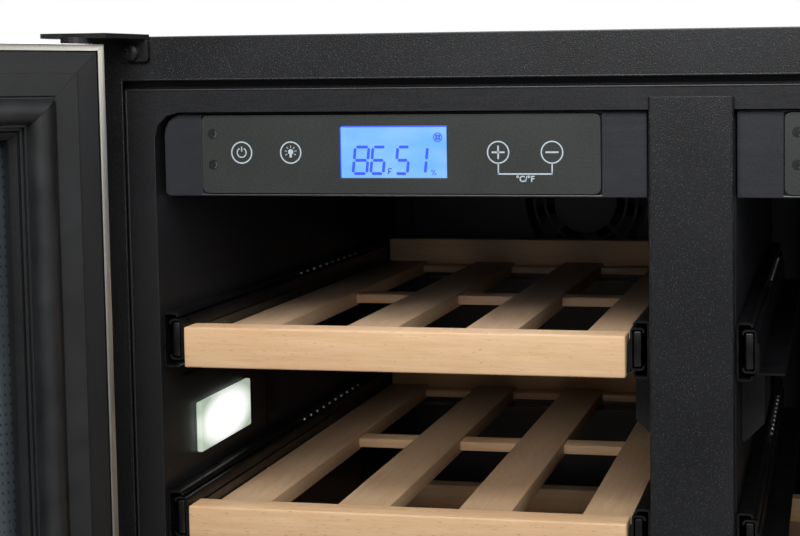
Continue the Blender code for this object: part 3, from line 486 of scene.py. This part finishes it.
def mitred(name, profile, side):
    """Four mitred lengths round the shut door. profile is (inset, y) points of their closed section."""
    shape = bmesh.new()
    near, far = side * HALF, side * DOOR_FREE_X
    inward = -side
    corners = ((near, DOOR_LOW, inward, 1), (far, DOOR_LOW, -inward, 1))
    corners += ((far, DOOR_HIGH, -inward, -1), (near, DOOR_HIGH, inward, -1))
    for i, first in enumerate(corners):
        second = corners[(i + 1) % 4]
        along = Vector((second[0] - first[0], 0, second[1] - first[1])).normalized()
        ends = []
        for corner, pull in ((first, along), (second, -along)):
            x, z, to_x, to_z = corner
            section = [Vector((x + to_x * inset, y, z + to_z * inset)) for inset, y in profile]
            ends.append([point + pull * MITRE_GAP for point in section])
        start, stop = ([shape.verts.new(point) for point in end] for end in ends)
        shape.faces.new(start)
        shape.faces.new(stop[::-1])
        for j, vert in enumerate(start):
            shape.faces.new((vert, start[j - 1], stop[j - 1], stop[j]))
    return mesh_of(shape, name)


def arc(middle, radius, start, end, steps):
    """Points of a circle's arc between two angles in degrees, both ends with it."""
    angles = [math.radians(start + (end - start) * i / steps) for i in range(steps + 1)]
    return [(middle[0] + radius * math.cos(a), middle[1] + radius * math.sin(a)) for a in angles]


def cleared(name):
    """A CAD node that keeps its own shape, with its old materials off."""
    node = frame["nodes"][name]
    node.data.materials.clear()
    return node


def dress(names, material, edge=0.0):
    """Puts a material on CAD nodes, and rounds off their hard edges a little so that they catch the light."""
    for name in names:
        node = cleared(name)
        node.data.materials.append(material)
        if edge:
            node.modifiers.new("weld", "WELD").merge_threshold = 0.002 * MM
            bevel = node.modifiers.new("eased_edges", "BEVEL")
            bevel.width = edge
            bevel.segments = 2
            bevel.limit_method = "ANGLE"
            bevel.angle_limit = math.radians(40)
            bevel.harden_normals = False


# ---------------------------------------------------------------- cabinet

def cabinet():
    dress(["cabinet_shell", "centre_post"], POWDER, 0.6 * MM)
    dress(["toe_grille", "base_pan"], POWDER, 0.4 * MM)
    dress(["insulation_foam"], FOAM)
    dress(["compressor"], ENAMEL)
    dress(["inner_liner"], LINER, 0.5 * MM)
    dress(["divider_wall"], LINER, 0.5 * MM)
    dress([f"duct_cover_{side}" for side, _ in SIDES], LINER, 0.4 * MM)
    dress([f"sensor_pod_{side}" for side, _ in SIDES], BLACK_ABS, 0.5 * MM)
    dress([f"fan_rotor_{side}" for side, _ in SIDES], BLACK_ABS, 0.2 * MM)
    for end in ("front", "rear"):
        dress([f"levelling_foot_{end}_{side}" for side, _ in SIDES], HINGE_BLACK, 0.3 * MM)


def breaker_strip():
    """The black strip between the shell's flange and the liner's rim, in front of the foam."""
    rim_low, rim_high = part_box("inner_liner")
    outer_x, inner_x = HALF - 3 * MM, rim_high.x + 0.4 * MM
    outer_z, inner_z = (DOORWAY_BOTTOM - 18 * MM, TOP - 3 * MM), (rim_low.z - 0.4 * MM, rim_high.z + 0.4 * MM)
    y = (FRONT + 8 * MM, FRONT + 12.1 * MM)
    strip = bmesh.new()
    for sign in (-1, 1):
        add_block(strip, (sign * inner_x, sign * outer_x), y, outer_z)
    for near, far in zip(inner_z, outer_z):
        add_block(strip, (-inner_x + 0.01 * MM, inner_x - 0.01 * MM), y, (near, far))
    placed("breaker_strip", mesh_of(strip, "breaker_strip"), BLACK_ABS, "cabinet")


def hems():
    """The rounded hems that catch the light along the shell's flange and the liner's rim."""
    rim_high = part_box("inner_liner")[1]
    lines = (
        ("flange_hem", HALF - SIDE_FLANGE, TOP - TOP_FLANGE + HEM_RADIUS, FRONT + 0.1 * MM, POWDER),
        ("rim_hem", rim_high.x - 0.6 * MM, rim_high.z - 0.6 * MM, FRONT + 4.2 * MM, HOUSING),
    )
    for name, x, z, y, material in lines:
        bead = bmesh.new()
        add_rod(bead, (-x, y, z), (x, y, z), HEM_RADIUS, 12)
        for sign in (-1, 1):
            add_rod(bead, (sign * x, y, z), (sign * x, y, DOORWAY_BOTTOM + 8 * MM), HEM_RADIUS, 12)
        placed(name, mesh_of(bead, name), material, "cabinet")


# ---------------------------------------------------------------- controls

def add_flat(shape, outline, place, thickness=0.05 * MM):
    """Adds a thin printed shape, its outline counted from a place on the panel's face."""
    x, y, z = place
    add_extrusion(shape, [(x + px, z + pz) for px, pz in outline], (y - thickness, y - 0.01 * MM))


def add_line(shape, start, end, width, place):
    """Adds a printed line with square ends."""
    start, end = Vector(start), Vector(end)
    along = (end - start).normalized()
    side = Vector((-along.y, along.x)) * width / 2
    add_flat(shape, [start + side, end + side, end - side, start - side], place)


def add_ring(shape, middle, radius, width, place, start=0, end=360, steps=40):
    """Adds a printed ring, or part of one between two angles."""
    outer = arc(middle, radius + width / 2, start, end, steps)
    inner = arc(middle, radius - width / 2, start, end, steps)
    for i in range(steps):
        add_flat(shape, [outer[i], outer[i + 1], inner[i + 1], inner[i]], place)


def icons(side, place):
    """Power, lamp, plus and minus, with the line that joins the two for the temperature unit."""
    ink = bmesh.new()
    power, lamp, plus, minus = ((ICON_X[name] * MM, ICON_Z) for name in ("power", "lamp", "plus", "minus"))
    for middle in (power, lamp, plus, minus):
        add_ring(ink, middle, 6.5 * MM, 0.8 * MM, place)
    add_ring(ink, power, 2.9 * MM, 0.7 * MM, place, 118, 422)
    add_line(ink, (power[0], power[1] + 0.6 * MM), (power[0], power[1] + 3.7 * MM), 0.7 * MM, place)
    bulb = (lamp[0], lamp[1] + 0.4 * MM)
    add_flat(ink, arc(bulb, 1.7 * MM, -60, 240, 20), place)
    add_line(ink, (bulb[0], bulb[1] - 1.5 * MM), (bulb[0], bulb[1] - 3.4 * MM), 1.5 * MM, place)
    for turn in range(-30, 211, 40):
        a = math.radians(turn)
        ray = [(bulb[0] + r * math.cos(a), bulb[1] + r * math.sin(a)) for r in (2.5 * MM, 3.9 * MM)]
        add_line(ink, *ray, 0.45 * MM, place)
    for middle in (plus, minus):
        add_line(ink, (middle[0] - 4.0 * MM, middle[1]), (middle[0] + 4.0 * MM, middle[1]), 1.0 * MM, place)
        add_line(ink, (middle[0], middle[1] - 6.6 * MM), (middle[0], middle[1] - 13.1 * MM), 0.8 * MM, place)
    add_line(ink, (plus[0], plus[1] - 4.0 * MM), (plus[0], plus[1] + 4.0 * MM), 1.0 * MM, place)
    foot = plus[1] - 13.0 * MM
    add_line(ink, (plus[0] - 0.4 * MM, foot), (minus[0] + 0.4 * MM, foot), 0.9 * MM, place)
    placed(f"printed_icons_{side}", mesh_of(ink, "printed_icons"), INK, "cabinet")

    letters = bpy.data.curves.new("unit_letters", "FONT")
    letters.body = "°C/°F"
    letters.size = 5.0 * MM
    letters.align_x = "CENTER"
    letters.extrude = 0.02 * MM
    letters.offset = 0.12 * MM
    letters.materials.append(INK)
    words = bpy.data.objects.new(f"unit_letters_{side}", letters)
    words.rotation_euler = (math.pi / 2, 0, 0)
    words.location = (place[0] + (plus[0] + minus[0]) / 2, place[1] - 0.03 * MM, place[2] + foot - 4.6 * MM)
    bpy.context.scene.collection.objects.link(words)
    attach(words, "cabinet")

    # Each dimple is a flat dark disk of painted shade for its hollow, with a light crescent on its right as a
    # painted highlight on its rim.
    dimples, glints = bmesh.new(), bmesh.new()
    for drop in DIMPLES_Z:
        x, z = ICON_X["dimple"] * MM, drop * MM
        add_flat(dimples, arc((x, z), 3.2 * MM, 0, 345, 23), place, 0.03 * MM)
        add_ring(glints, (x + 0.4 * MM, z), 1.9 * MM, 0.5 * MM, place, -75, 60, 10)
    placed(f"screw_covers_{side}", mesh_of(dimples, "dimple_painted_shades"), BLACK_ABS, "cabinet")
    placed(f"screw_cover_rims_{side}", mesh_of(glints, "dimple_painted_glints"), DIMPLE_GLINT_PAINT, "cabinet")


SEGMENTS = {
    "a": ((0, 2), (1, 2)),
    "b": ((1, 2), (1, 1)),
    "c": ((1, 1), (1, 0)),
    "d": ((0, 0), (1, 0)),
    "e": ((0, 1), (0, 0)),
    "f": ((0, 2), (0, 1)),
    "g": ((0, 1), (1, 1)),
}
DIGITS = {"8": "abcdefg", "6": "acdefg", "5": "acdfg", "1": "bc"}


def digit(shape, character, left, width, place):
    """A slanted seven-segment digit, with its segments a little apart."""
    height, bottom, slant, line = 16.2 * MM, 2.6 * MM, 0.11, 1.75 * MM

    def spot(column, row):
        z = bottom + row * height / 2
        return Vector((left + column * width + slant * (z - bottom - height / 2), z))

    for name in DIGITS[character]:
        start, end = (spot(*corner) for corner in SEGMENTS[name])
        along = (end - start).normalized()
        side = Vector((-along.y, along.x)) * line / 2
        a, b = start + along * 0.55 * MM, end - along * 0.55 * MM
        tip = along * 0.6 * MM
        add_flat(shape, [a, a + tip + side, b - tip + side, b, b - tip - side, a + tip - side], place)


def screen(side):
    """The lit digits and signs on the display's glass, counted from its lower left corner."""
    low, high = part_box(f"display_{side}")
    place = (low.x, low.y, low.z)
    width = high.x - low.x
    lit = bmesh.new()
    digits = (("8", 0.132, 0.262), ("6", 0.300, 0.418), ("5", 0.534, 0.645), ("1", 0.700, 0.812))
    for character, start, end in digits:
        digit(lit, character, start * width, (end - start) * width, place)
    letter_f = [(0.455, 2.2), (0.455, 5.6), (0.488, 5.6)]
    for start, end in zip(letter_f, letter_f[1:]):
        add_line(lit, (start[0] * width, start[1] * MM), (end[0] * width, end[1] * MM), 0.7 * MM, place)
    add_line(lit, (0.455 * width, 3.9 * MM), (0.480 * width, 3.9 * MM), 0.7 * MM, place)
    add_line(lit, (0.866 * width, 1.8 * MM), (0.892 * width, 4.9 * MM), 0.5 * MM, place)
    for x, z in ((0.864, 4.3), (0.894, 2.3)):
        add_ring(lit, (x * width, z * MM), 0.5 * MM, 0.35 * MM, place, steps=12)
    fan = (0.921 * width, 24.6 * MM)
    add_ring(lit, fan, 2.6 * MM, 0.55 * MM, place)
    for turn in (45, 135, 225, 315):
        a = math.radians(turn)
        middle = (fan[0] + 1.25 * MM * math.cos(a), fan[1] + 1.25 * MM * math.sin(a))
        add_flat(lit, arc(middle, 0.85 * MM, 0, 345, 15), place)
    placed(f"display_digits_{side}", mesh_of(lit, "display_digits"), SEGMENT, "cabinet")
    faint = bmesh.new()
    bulb = (0.202 * width, 25.6 * MM)
    add_ring(faint, bulb, 1.9 * MM, 0.5 * MM, place, -50, 230, 24)
    add_line(faint, (bulb[0], bulb[1] - 1.9 * MM), (bulb[0], bulb[1] - 3.9 * MM), 1.6 * MM, place)
    for turn in (-20, 20, 60, 120, 160, 200):
        a = math.radians(turn)
        ray = [(bulb[0] + r * math.cos(a), bulb[1] + r * math.sin(a)) for r in (2.7 * MM, 3.7 * MM)]
        add_line(faint, *ray, 0.4 * MM, place)
    placed(f"display_bulb_{side}", mesh_of(faint, "display_bulb"), FAINT_SEGMENT, "cabinet")
    border = bmesh.new()
    inner_z = high.z - low.z
    add_line(border, (0.35 * MM, 0), (0.35 * MM, inner_z), 0.7 * MM, place)
    add_line(border, (0, inner_z - 0.35 * MM), (width, inner_z - 0.35 * MM), 0.7 * MM, place)
    placed(f"display_border_{side}", mesh_of(border, "display_border"), SEGMENT, "cabinet")


def light_bar(side):
    """A frosted strip of cool white light under the control housing, out of sight from the front."""
    low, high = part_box(f"control_housing_{side}")
    x = (low.x + 40 * MM, high.x - 40 * MM)
    y, z = (low.y + 42 * MM, low.y + 52 * MM), (low.z - 1.4 * MM, low.z - 0.1 * MM)
    bar = block("light_bar", x, y, z, 0.4 * MM)
    placed(f"light_bar_{side}", bar, LIGHT_BAR, "cabinet")


def controls():
    for side, _ in SIDES:
        dress([f"control_housing_{side}"], HOUSING, 0.8 * MM)
        dress([f"control_panel_{side}"], OVERLAY, 0.3 * MM)
        dress([f"display_{side}"], LCD)
        low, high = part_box(f"control_panel_{side}")
        icons(side, (low.x, low.y, high.z))
        screen(side)
        light_bar(side)


# ---------------------------------------------------------------- doors

def door_turn(side):
    """The turn that takes a door's pieces from shut to where the door stands at rest."""
    joint = JOINTS[f"{side}_door_hinge"]
    pivot = Matrix.Translation(joint["pos_m"])
    turn = Matrix.Rotation(math.radians(-joint["range_deg"][0]), 4, Vector(joint["axis"]))
    return pivot @ turn @ pivot.inverted()


def on_door(name, mesh, material, side, stands_for=None):
    """An object of the mesh, made on the shut door and turned open with it."""
    obj = bpy.data.objects.new(name, mesh)
    bpy.context.scene.collection.objects.link(obj)
    if not mesh.materials:
        mesh.materials.append(material)
    obj.matrix_world = door_turn(side)
    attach(obj, f"{side}_door")
    if stands_for:
        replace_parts(obj, stands_for)
    return obj


def in_door(points):
    """(inset, height over the door's back face) points in millimetres, as insets and Y."""
    return [(inset * MM, FRONT + DOOR_BACK + height * MM) for inset, height in points]


def door(side, sign):
    skin = in_door([(0, -0.8), (0.25, -0.2), (0.9, 0), (4, 0), (4, -15.0), (15.2, -15.0)])
    skin += in_door([(15.2, -43.2), (50, -43.2), (50, -45.5), (1.6, -45.5), (0.5, -45.0), (0, -43.9)])
    steel = mitred("stainless_frame", skin, sign)
    on_door(f"stainless_frame_{side}", steel, STAINLESS, side, f"door_frame_{side}")
    flat = in_door([(4.5, -14.8), (4.5, -0.9), (4.9, -0.3), (5.6, -0.1), (48.0, -0.1), (48.4, -0.5)])
    groove = in_door([(48.6, -3.4), (50.0, -3.6), (50.2, -5.2), (50.6, -5.4), (51.0, -3.9), (51.6, -3.5)])
    bead = in_door([(55.2, -6.5), (55.9, -8.0), (56, -14.8)])
    moulding = mitred("inner_frame", flat + groove + bead, sign)
    on_door(f"inner_frame_{side}", moulding, DOOR_ABS, side, f"door_inner_frame_{side}")
    flange = [(17.2, 0.4), (17.2, 1.5), (17.5, 1.8), (30.2, 1.8), (31.0, 1.0), (31.8, 1.2)]
    turns = [math.radians(degrees) for degrees in range(10, 171, 16)]
    roll = [(39.0 - 7.2 * math.cos(a), 1.6 + 7.3 * math.sin(a)) for a in turns]
    seal = mitred("gasket", in_door(flange + roll + [(46.9, 0.4)]), sign)
    on_door(f"gasket_{side}", seal, RUBBER, side, f"door_gasket_{side}")

    panes = (("outer", DOOR_FACE + 2.4 * MM, OUTER_PANE), ("inner", DOOR_BACK - 15.3 * MM - PANE, INNER_PANE))
    x = (sign * (HALF - GLASS_INSET), sign * (DOOR_FREE_X + GLASS_INSET))
    z = (DOOR_LOW + GLASS_INSET, DOOR_HIGH - GLASS_INSET)
    for where, depth, glass in panes:
        y = (FRONT + depth, FRONT + depth + PANE)
        stands_for = f"door_glass_{side}" if where == "outer" else None
        on_door(f"{where}_pane_{side}", block("pane", x, y, z, 0.6 * MM), glass, side, stands_for)
    behind, front = panes[1][1] - 0.2 * MM, panes[0][1] + PANE + 0.2 * MM
    spacer = [(SPACER[0], FRONT + front), (SPACER[0], FRONT + behind), (SPACER[1], FRONT + behind)]
    spacer += [(SPACER[1], FRONT + front)]
    on_door(f"glass_spacer_{side}", mitred("glass_spacer", spacer, sign), SPACER_METAL, side)
    dress([f"door_handle_{side}"], STAINLESS, 0.5 * MM)


def hinges():
    screw = screw_mesh()
    for side, sign in SIDES:
        dress([f"top_hinge_{side}", f"bottom_hinge_{side}"], HINGE_BLACK, 0.4 * MM)
        for where, z in (("top", 858.5 * MM), ("bottom", 152.0 * MM)):
            at = (sign * 345 * MM, FRONT - 3.3 * MM, z)
            placed(f"{where}_hinge_screw_{side}", screw, HINGE_BLACK, "cabinet", at)


def screw_mesh():
    """A cross-recess pan head facing the front, counted from the face it sits on."""
    shape = bmesh.new()
    angles = [math.tau * i / SCREW_SIDES for i in range(SCREW_SIDES)]
    directions = [(math.cos(a), math.sin(a)) for a in angles]
    loops = []
    for y, radius in ((0.1, 5.4), (-1.5, 5.5), (-2.6, 4.9), (-3.2, 3.6), (-3.4, 2.4)):
        loops.append([shape.verts.new((radius * MM * c, y * MM, radius * MM * s)) for c, s in directions])
    recess = []
    for i, (c, s) in enumerate(directions):
        radius, y = (2.3, -1.4) if i % 6 in (0, 1, 5) else (1.1, -3.3)
        recess.append(shape.verts.new((radius * MM * c, y * MM, radius * MM * s)))
    loops.append(recess)
    for near, far in zip(loops, loops[1:]):
        for i in range(SCREW_SIDES):
            shape.faces.new((near[i], near[i - 1], far[i - 1], far[i]))
    shape.faces.new(loops[0])
    shape.faces.new(recess)
    return mesh_of(shape, "pan_head_screw", 30)


# ---------------------------------------------------------------- shelves

def rack_meshes():
    """One shelf's beech pieces, counted from the middle of its rail's top edge and the cabinet's front."""
    across = (-RACK_HALF, RACK_HALF)
    rail_back = RAIL_Y + RAIL_DEPTH
    slat_y, slat_z = (rail_back + 0.1 * MM, BACK_START - 0.1 * MM), (-20.5 * MM, -9.5 * MM)
    bar_half = RACK_HALF - 17 * MM
    bar_y, bar_z = (234 * MM, 252 * MM), (-18.4 * MM, -11.6 * MM)
    ledge_y, ledge_z = (420 * MM, BACK_END), (-18.5 * MM, -12.6 * MM)
    rail = block("front_rail", across, (RAIL_Y, rail_back), (-RAIL_HEIGHT, 0), 1.2 * MM, 3)
    slat = block("slat", (-SLAT_HALF, SLAT_HALF), slat_y, slat_z, 0.9 * MM)
    bar = block("cross_bar", (-bar_half, bar_half), bar_y, bar_z, 0.6 * MM)
    back = block("back_rail", across, (BACK_START, BACK_END), (-12.5 * MM, BACK_RISE), 1.0 * MM)
    ledge = block("ledge", across, ledge_y, ledge_z, 0.8 * MM)
    for mesh in (rail, bar, back, ledge):
        mesh.materials.append(BEECH_ACROSS)
    slat.materials.append(BEECH_DEEP)
    return rail, slat, bar, back, ledge


def slide_meshes():
    """A slide's pieces, each for a wall at x = 0 that faces +X and for one that faces -X."""
    outer = [(9.6, 14.6), (9.5, 15.6), (8.8, 16.5), (7.8, 16.8), (2.2, 16.8), (1.3, 16.3), (0.95, 15.4)]
    inner = [(4.0, 9.9), (4.2, 11.2), (5.2, 12.2), (6.6, 12.4), (10.4, 12.4), (11.3, 11.9), (11.6, 11.0)]
    cage = [(9.3, 14.6), (3.2, 14.6), (2.6, 14.2), (2.5, 13.0)]
    sections = (
        ("slide_outer", outer, SHEET, (8, 440)),
        ("slide_inner", inner, SHEET, (10, 428)),
        ("ball_cage", cage, CAGE_SHEET, (205, 352)),
    )
    angle_outline = [(12.35, 5.0), (12.35, -13.9), (28.9, -13.9), (28.9, -12.6), (13.6, -12.6), (13.6, 5.0)]
    made = {name: [] for name in ("slide_outer", "slide_inner", "ball_cage", "shelf_angle", "slide_balls")}
    for hand in (1, -1):
        for name, upper, thickness, (front, back) in sections:
            shape = bmesh.new()
            points = [(hand * x * MM, z * MM) for x, z in upper + [(x, -z) for x, z in upper[::-1]]]
            add_extrusion(shape, sheet_outline(points, thickness), (front * MM, back * MM))
            made[name].append(mesh_of(shape, "slide_section"))
        angle = bmesh.new()
        outline = [(hand * x * MM, z * MM) for x, z in angle_outline]
        add_extrusion(angle, outline, (10 * MM, 428 * MM))
        plug_x = sorted((hand * 5.5 * MM, hand * 10.2 * MM))
        add_block(angle, plug_x, (10.2 * MM, 17 * MM), (-10.8 * MM, 10.8 * MM), 0.9 * MM)
        balls = bmesh.new()
        for row in (-1, 1):
            for number in range(BALLS):
                middle = (hand * BALL_X, FIRST_BALL_Y + number * BALL_PITCH, row * BALL_Z)
                turn = Matrix.Translation(middle)
                bmesh.ops.create_icosphere(balls, subdivisions=2, radius=BALL_RADIUS, matrix=turn)
        made["shelf_angle"].append(mesh_of(angle, "shelf_angle"))
        made["slide_balls"].append(mesh_of(balls, "balls"))
    for name, meshes in made.items():
        for mesh in meshes:
            mesh.materials.append(BALL_STEEL if name == "slide_balls" else SLIDE_BLACK)
    return made


def shelves():
    rail, slat, bar, back, ledge = rack_meshes()
    slide = slide_meshes()
    stay_x, stay_y, stay_z = (-140.6 * MM, 140.6 * MM), (398 * MM, 418 * MM), (-22.3 * MM, -20.9 * MM)
    stay_mesh = block("rear_stay", stay_x, stay_y, stay_z, 0.3 * MM)
    rack_low, rack_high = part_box("shelf_left_1_rack")
    middle_x = (rack_high.x - rack_low.x + 2 * DIVIDER_TO_RACK) / 2
    for side, sign in SIDES:
        for number in SHELVES:
            rack_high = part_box(f"shelf_left_{number}_rack")[1]
            at = Vector((sign * middle_x, FRONT, rack_high.z - BACK_RISE))
            body = f"shelf_{side}_{number}"
            fixed = [(name, "cabinet") for name in ("slide_outer", "ball_cage", "slide_balls")]
            sliding = [(name, body) for name in ("slide_inner", "shelf_angle")]
            for facing, (where, hand) in enumerate((("left", -1), ("right", 1))):
                wall = at + Vector((hand * WALL_X, 0, SLIDE_Z))
                for name, rides_on in fixed + sliding:
                    piece = f"{name}_{where}_{side}_{number}"
                    placed(piece, slide[name][facing], None, rides_on, wall)
            stay = placed(f"rear_stay_{side}_{number}", stay_mesh, SLIDE_BLACK, body, at)
            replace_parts(stay, f"shelf_{side}_{number}_runners")
            rack = f"shelf_{side}_{number}_rack"
            if rack not in frame["nodes"]:
                continue
            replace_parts(placed(f"front_rail_{side}_{number}", rail, None, body, at), rack)
            for place in range(4):
                shift = Vector((place * SLAT_PITCH - RACK_HALF + SLAT_HALF, 0, 0))
                placed(f"slat_{side}_{number}_{place + 1}", slat, None, body, at + shift)
            for name, mesh in (("cross_bar", bar), ("back_rail", back), ("back_ledge", ledge)):
                placed(f"{name}_{side}_{number}", mesh, None, body, at)


def slide_strips():
    """The upright strips that carry the fixed slides, screwed to the walls."""
    for side, sign in SIDES:
        for which in ("wall", "divider"):
            low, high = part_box(f"slides_{side}_{which}")
            inward = -sign if which == "wall" else sign
            face = low.x if inward > 0 else high.x
            x = sorted((face - inward * 0.1 * MM, face + inward * 0.5 * MM))
            z = (low.z + 1 * MM, high.z - 1 * MM)
            shape = bmesh.new()
            for middle in STRIP_MIDDLES:
                add_block(shape, x, (FRONT + middle - STRIP_HALF, FRONT + middle + STRIP_HALF), z)
            strips = mesh_of(shape, "strips")
            strip = placed(f"slide_strips_{side}_{which}", strips, SLIDE_BLACK, "cabinet")
            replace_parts(strip, f"slides_{side}_{which}")


# ---------------------------------------------------------------- lamps

def lamps():
    """The lit lens of each zone, the moulded brow over it, and on each sensor pod's top a faintly glowing
    blue strip, a painted reflection of the display's light.
    """
    for side, sign in SIDES:
        low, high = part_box(f"lamp_lens_{side}")
        middle, size = (low + high) / 2, high - low
        lens = glowing("lit_lens", "#8d998b", "#ffffff", 1.35, (size.x * 4, size.y * 0.56, size.z * 0.62))
        half = size / 2
        cover = block("lamp_lens", *((-reach, reach) for reach in half), 1.2 * MM, 3)
        obj = placed(f"lamp_lens_shown_{side}", cover, lens, "cabinet", middle)
        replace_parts(obj, f"lamp_lens_{side}")
        wall = low.x if sign < 0 else high.x
        foot = high.z + 19 * MM
        outline = [(0, 0), (-sign * 2.2 * MM, 1.0 * MM), (-sign * 2.2 * MM, 2.0 * MM), (0, 4.0 * MM)]
        brow = bmesh.new()
        add_extrusion(brow, [(wall + x, foot + z) for x, z in outline], (FRONT + 34 * MM, FRONT + 122 * MM))
        placed(f"lamp_brow_{side}", mesh_of(brow, "lamp_brow"), BLACK_ABS, "cabinet")
        pod_low, pod_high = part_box(f"sensor_pod_{side}")
        # Painted reflection of the display's blue light, as a glowing strip along the sensor pod's top.
        reflection_x = (pod_low.x + 1.0 * MM, pod_high.x - 1.5 * MM)
        reflection_y = (pod_low.y - 0.25 * MM, pod_low.y - 0.02 * MM)
        reflection_z = (pod_high.z - 1.2 * MM, pod_high.z - 0.5 * MM)
        reflection_bar = block("painted_reflection_strip", reflection_x, reflection_y, reflection_z)
        placed(f"light_guide_{side}", reflection_bar, BLUE_PAINTED_REFLECTION, "cabinet")


# ---------------------------------------------------------------- studio

def area(name, place, aim, size, watts):
    """A white rectangular light at a place, turned to shine at the aim."""
    light = bpy.data.lights.new(name, "AREA")
    light.shape = "RECTANGLE"
    light.size, light.size_y = size
    light.energy = watts
    lamp = bpy.data.objects.new(name, light)
    lamp.location = place
    lamp.rotation_mode = "QUATERNION"
    lamp.rotation_quaternion = (Vector(aim) - Vector(place)).to_track_quat("-Z", "Y")
    bpy.context.scene.collection.objects.link(lamp)


def studio():
    world = bpy.data.worlds.new("studio")
    bpy.context.scene.world = world
    world.use_nodes = True
    tree = world.node_tree
    seen = add(tree, "ShaderNodeLightPath", output="Is Camera Ray")
    colour = add(tree, MIX, {0: seen, 6: linear("#b4b8bf"), 7: linear("#ffffff")}, 2, data_type="RGBA")
    wire(tree.nodes["Background"], Color=colour, Strength=add(tree, RANGE, (seen, 0.0, 1.0, 0.10, 1.0)))

    material, tree, shader, place = surface("studio_floor", Roughness=0.6)
    worn = add(tree, NOISE, {"Vector": place, "Scale": 1 / 0.5})
    wire(shader, Base_Color=add(tree, RAMP, (worn,), stops=((0.3, "#d2d2d0"), (0.7, "#dadad8"))))
    floor = bpy.data.objects.new("floor", block("floor", (-8, 8), (-8, 8), (-0.02, -0.0005)))
    floor.data.materials.append(material)
    bpy.context.scene.collection.objects.link(floor)

    area("key", (-0.1, -1.05, 1.55), (-0.05, 0, 0.7), (1.1, 0.6), 21)
    area("fill", (1.6, -2.4, 1.5), (0, 0.1, 0.7), (1.0, 0.9), 6)
    area("back", (-1.0, 2.7, 2.5), (0, 0.2, 0.4), (2.4, 1.6), 55)
    area("right_card", (2.0, -0.45, 0.95), (-0.5, -0.3, 0.8), (1.3, 1.3), 12)


def camera():
    lens = bpy.data.cameras.new("camera")
    lens.sensor_width = 36
    lens.lens = 65.0
    lens.shift_x, lens.shift_y = -0.24, -0.11
    yaw, pitch, roll = math.radians(9.6), math.radians(-3.753), math.radians(-0.519)
    forward = Vector((-math.sin(yaw) * math.cos(pitch), math.cos(yaw) * math.cos(pitch), math.sin(pitch)))
    right = forward.cross(Vector((0, 0, 1))).normalized()
    up = right.cross(forward)
    tilted_right = right * math.cos(roll) + up * math.sin(roll)
    tilted_up = up * math.cos(roll) - right * math.sin(roll)
    obj = bpy.data.objects.new("camera", lens)
    basis = Matrix((tilted_right, tilted_up, -forward)).transposed().to_4x4()
    obj.matrix_world = Matrix.Translation((0.0833, FRONT - 0.8364, 0.8356)) @ basis
    bpy.context.scene.collection.objects.link(obj)
    bpy.context.scene.camera = obj
    bpy.context.scene.view_settings.view_transform = "Standard"


def main():
    cabinet()
    breaker_strip()
    hems()
    controls()
    for side, sign in SIDES:
        door(side, sign)
    hinges()
    shelves()
    slide_strips()
    lamps()
    studio()
    camera()
    bpy.context.view_layer.update()


main()
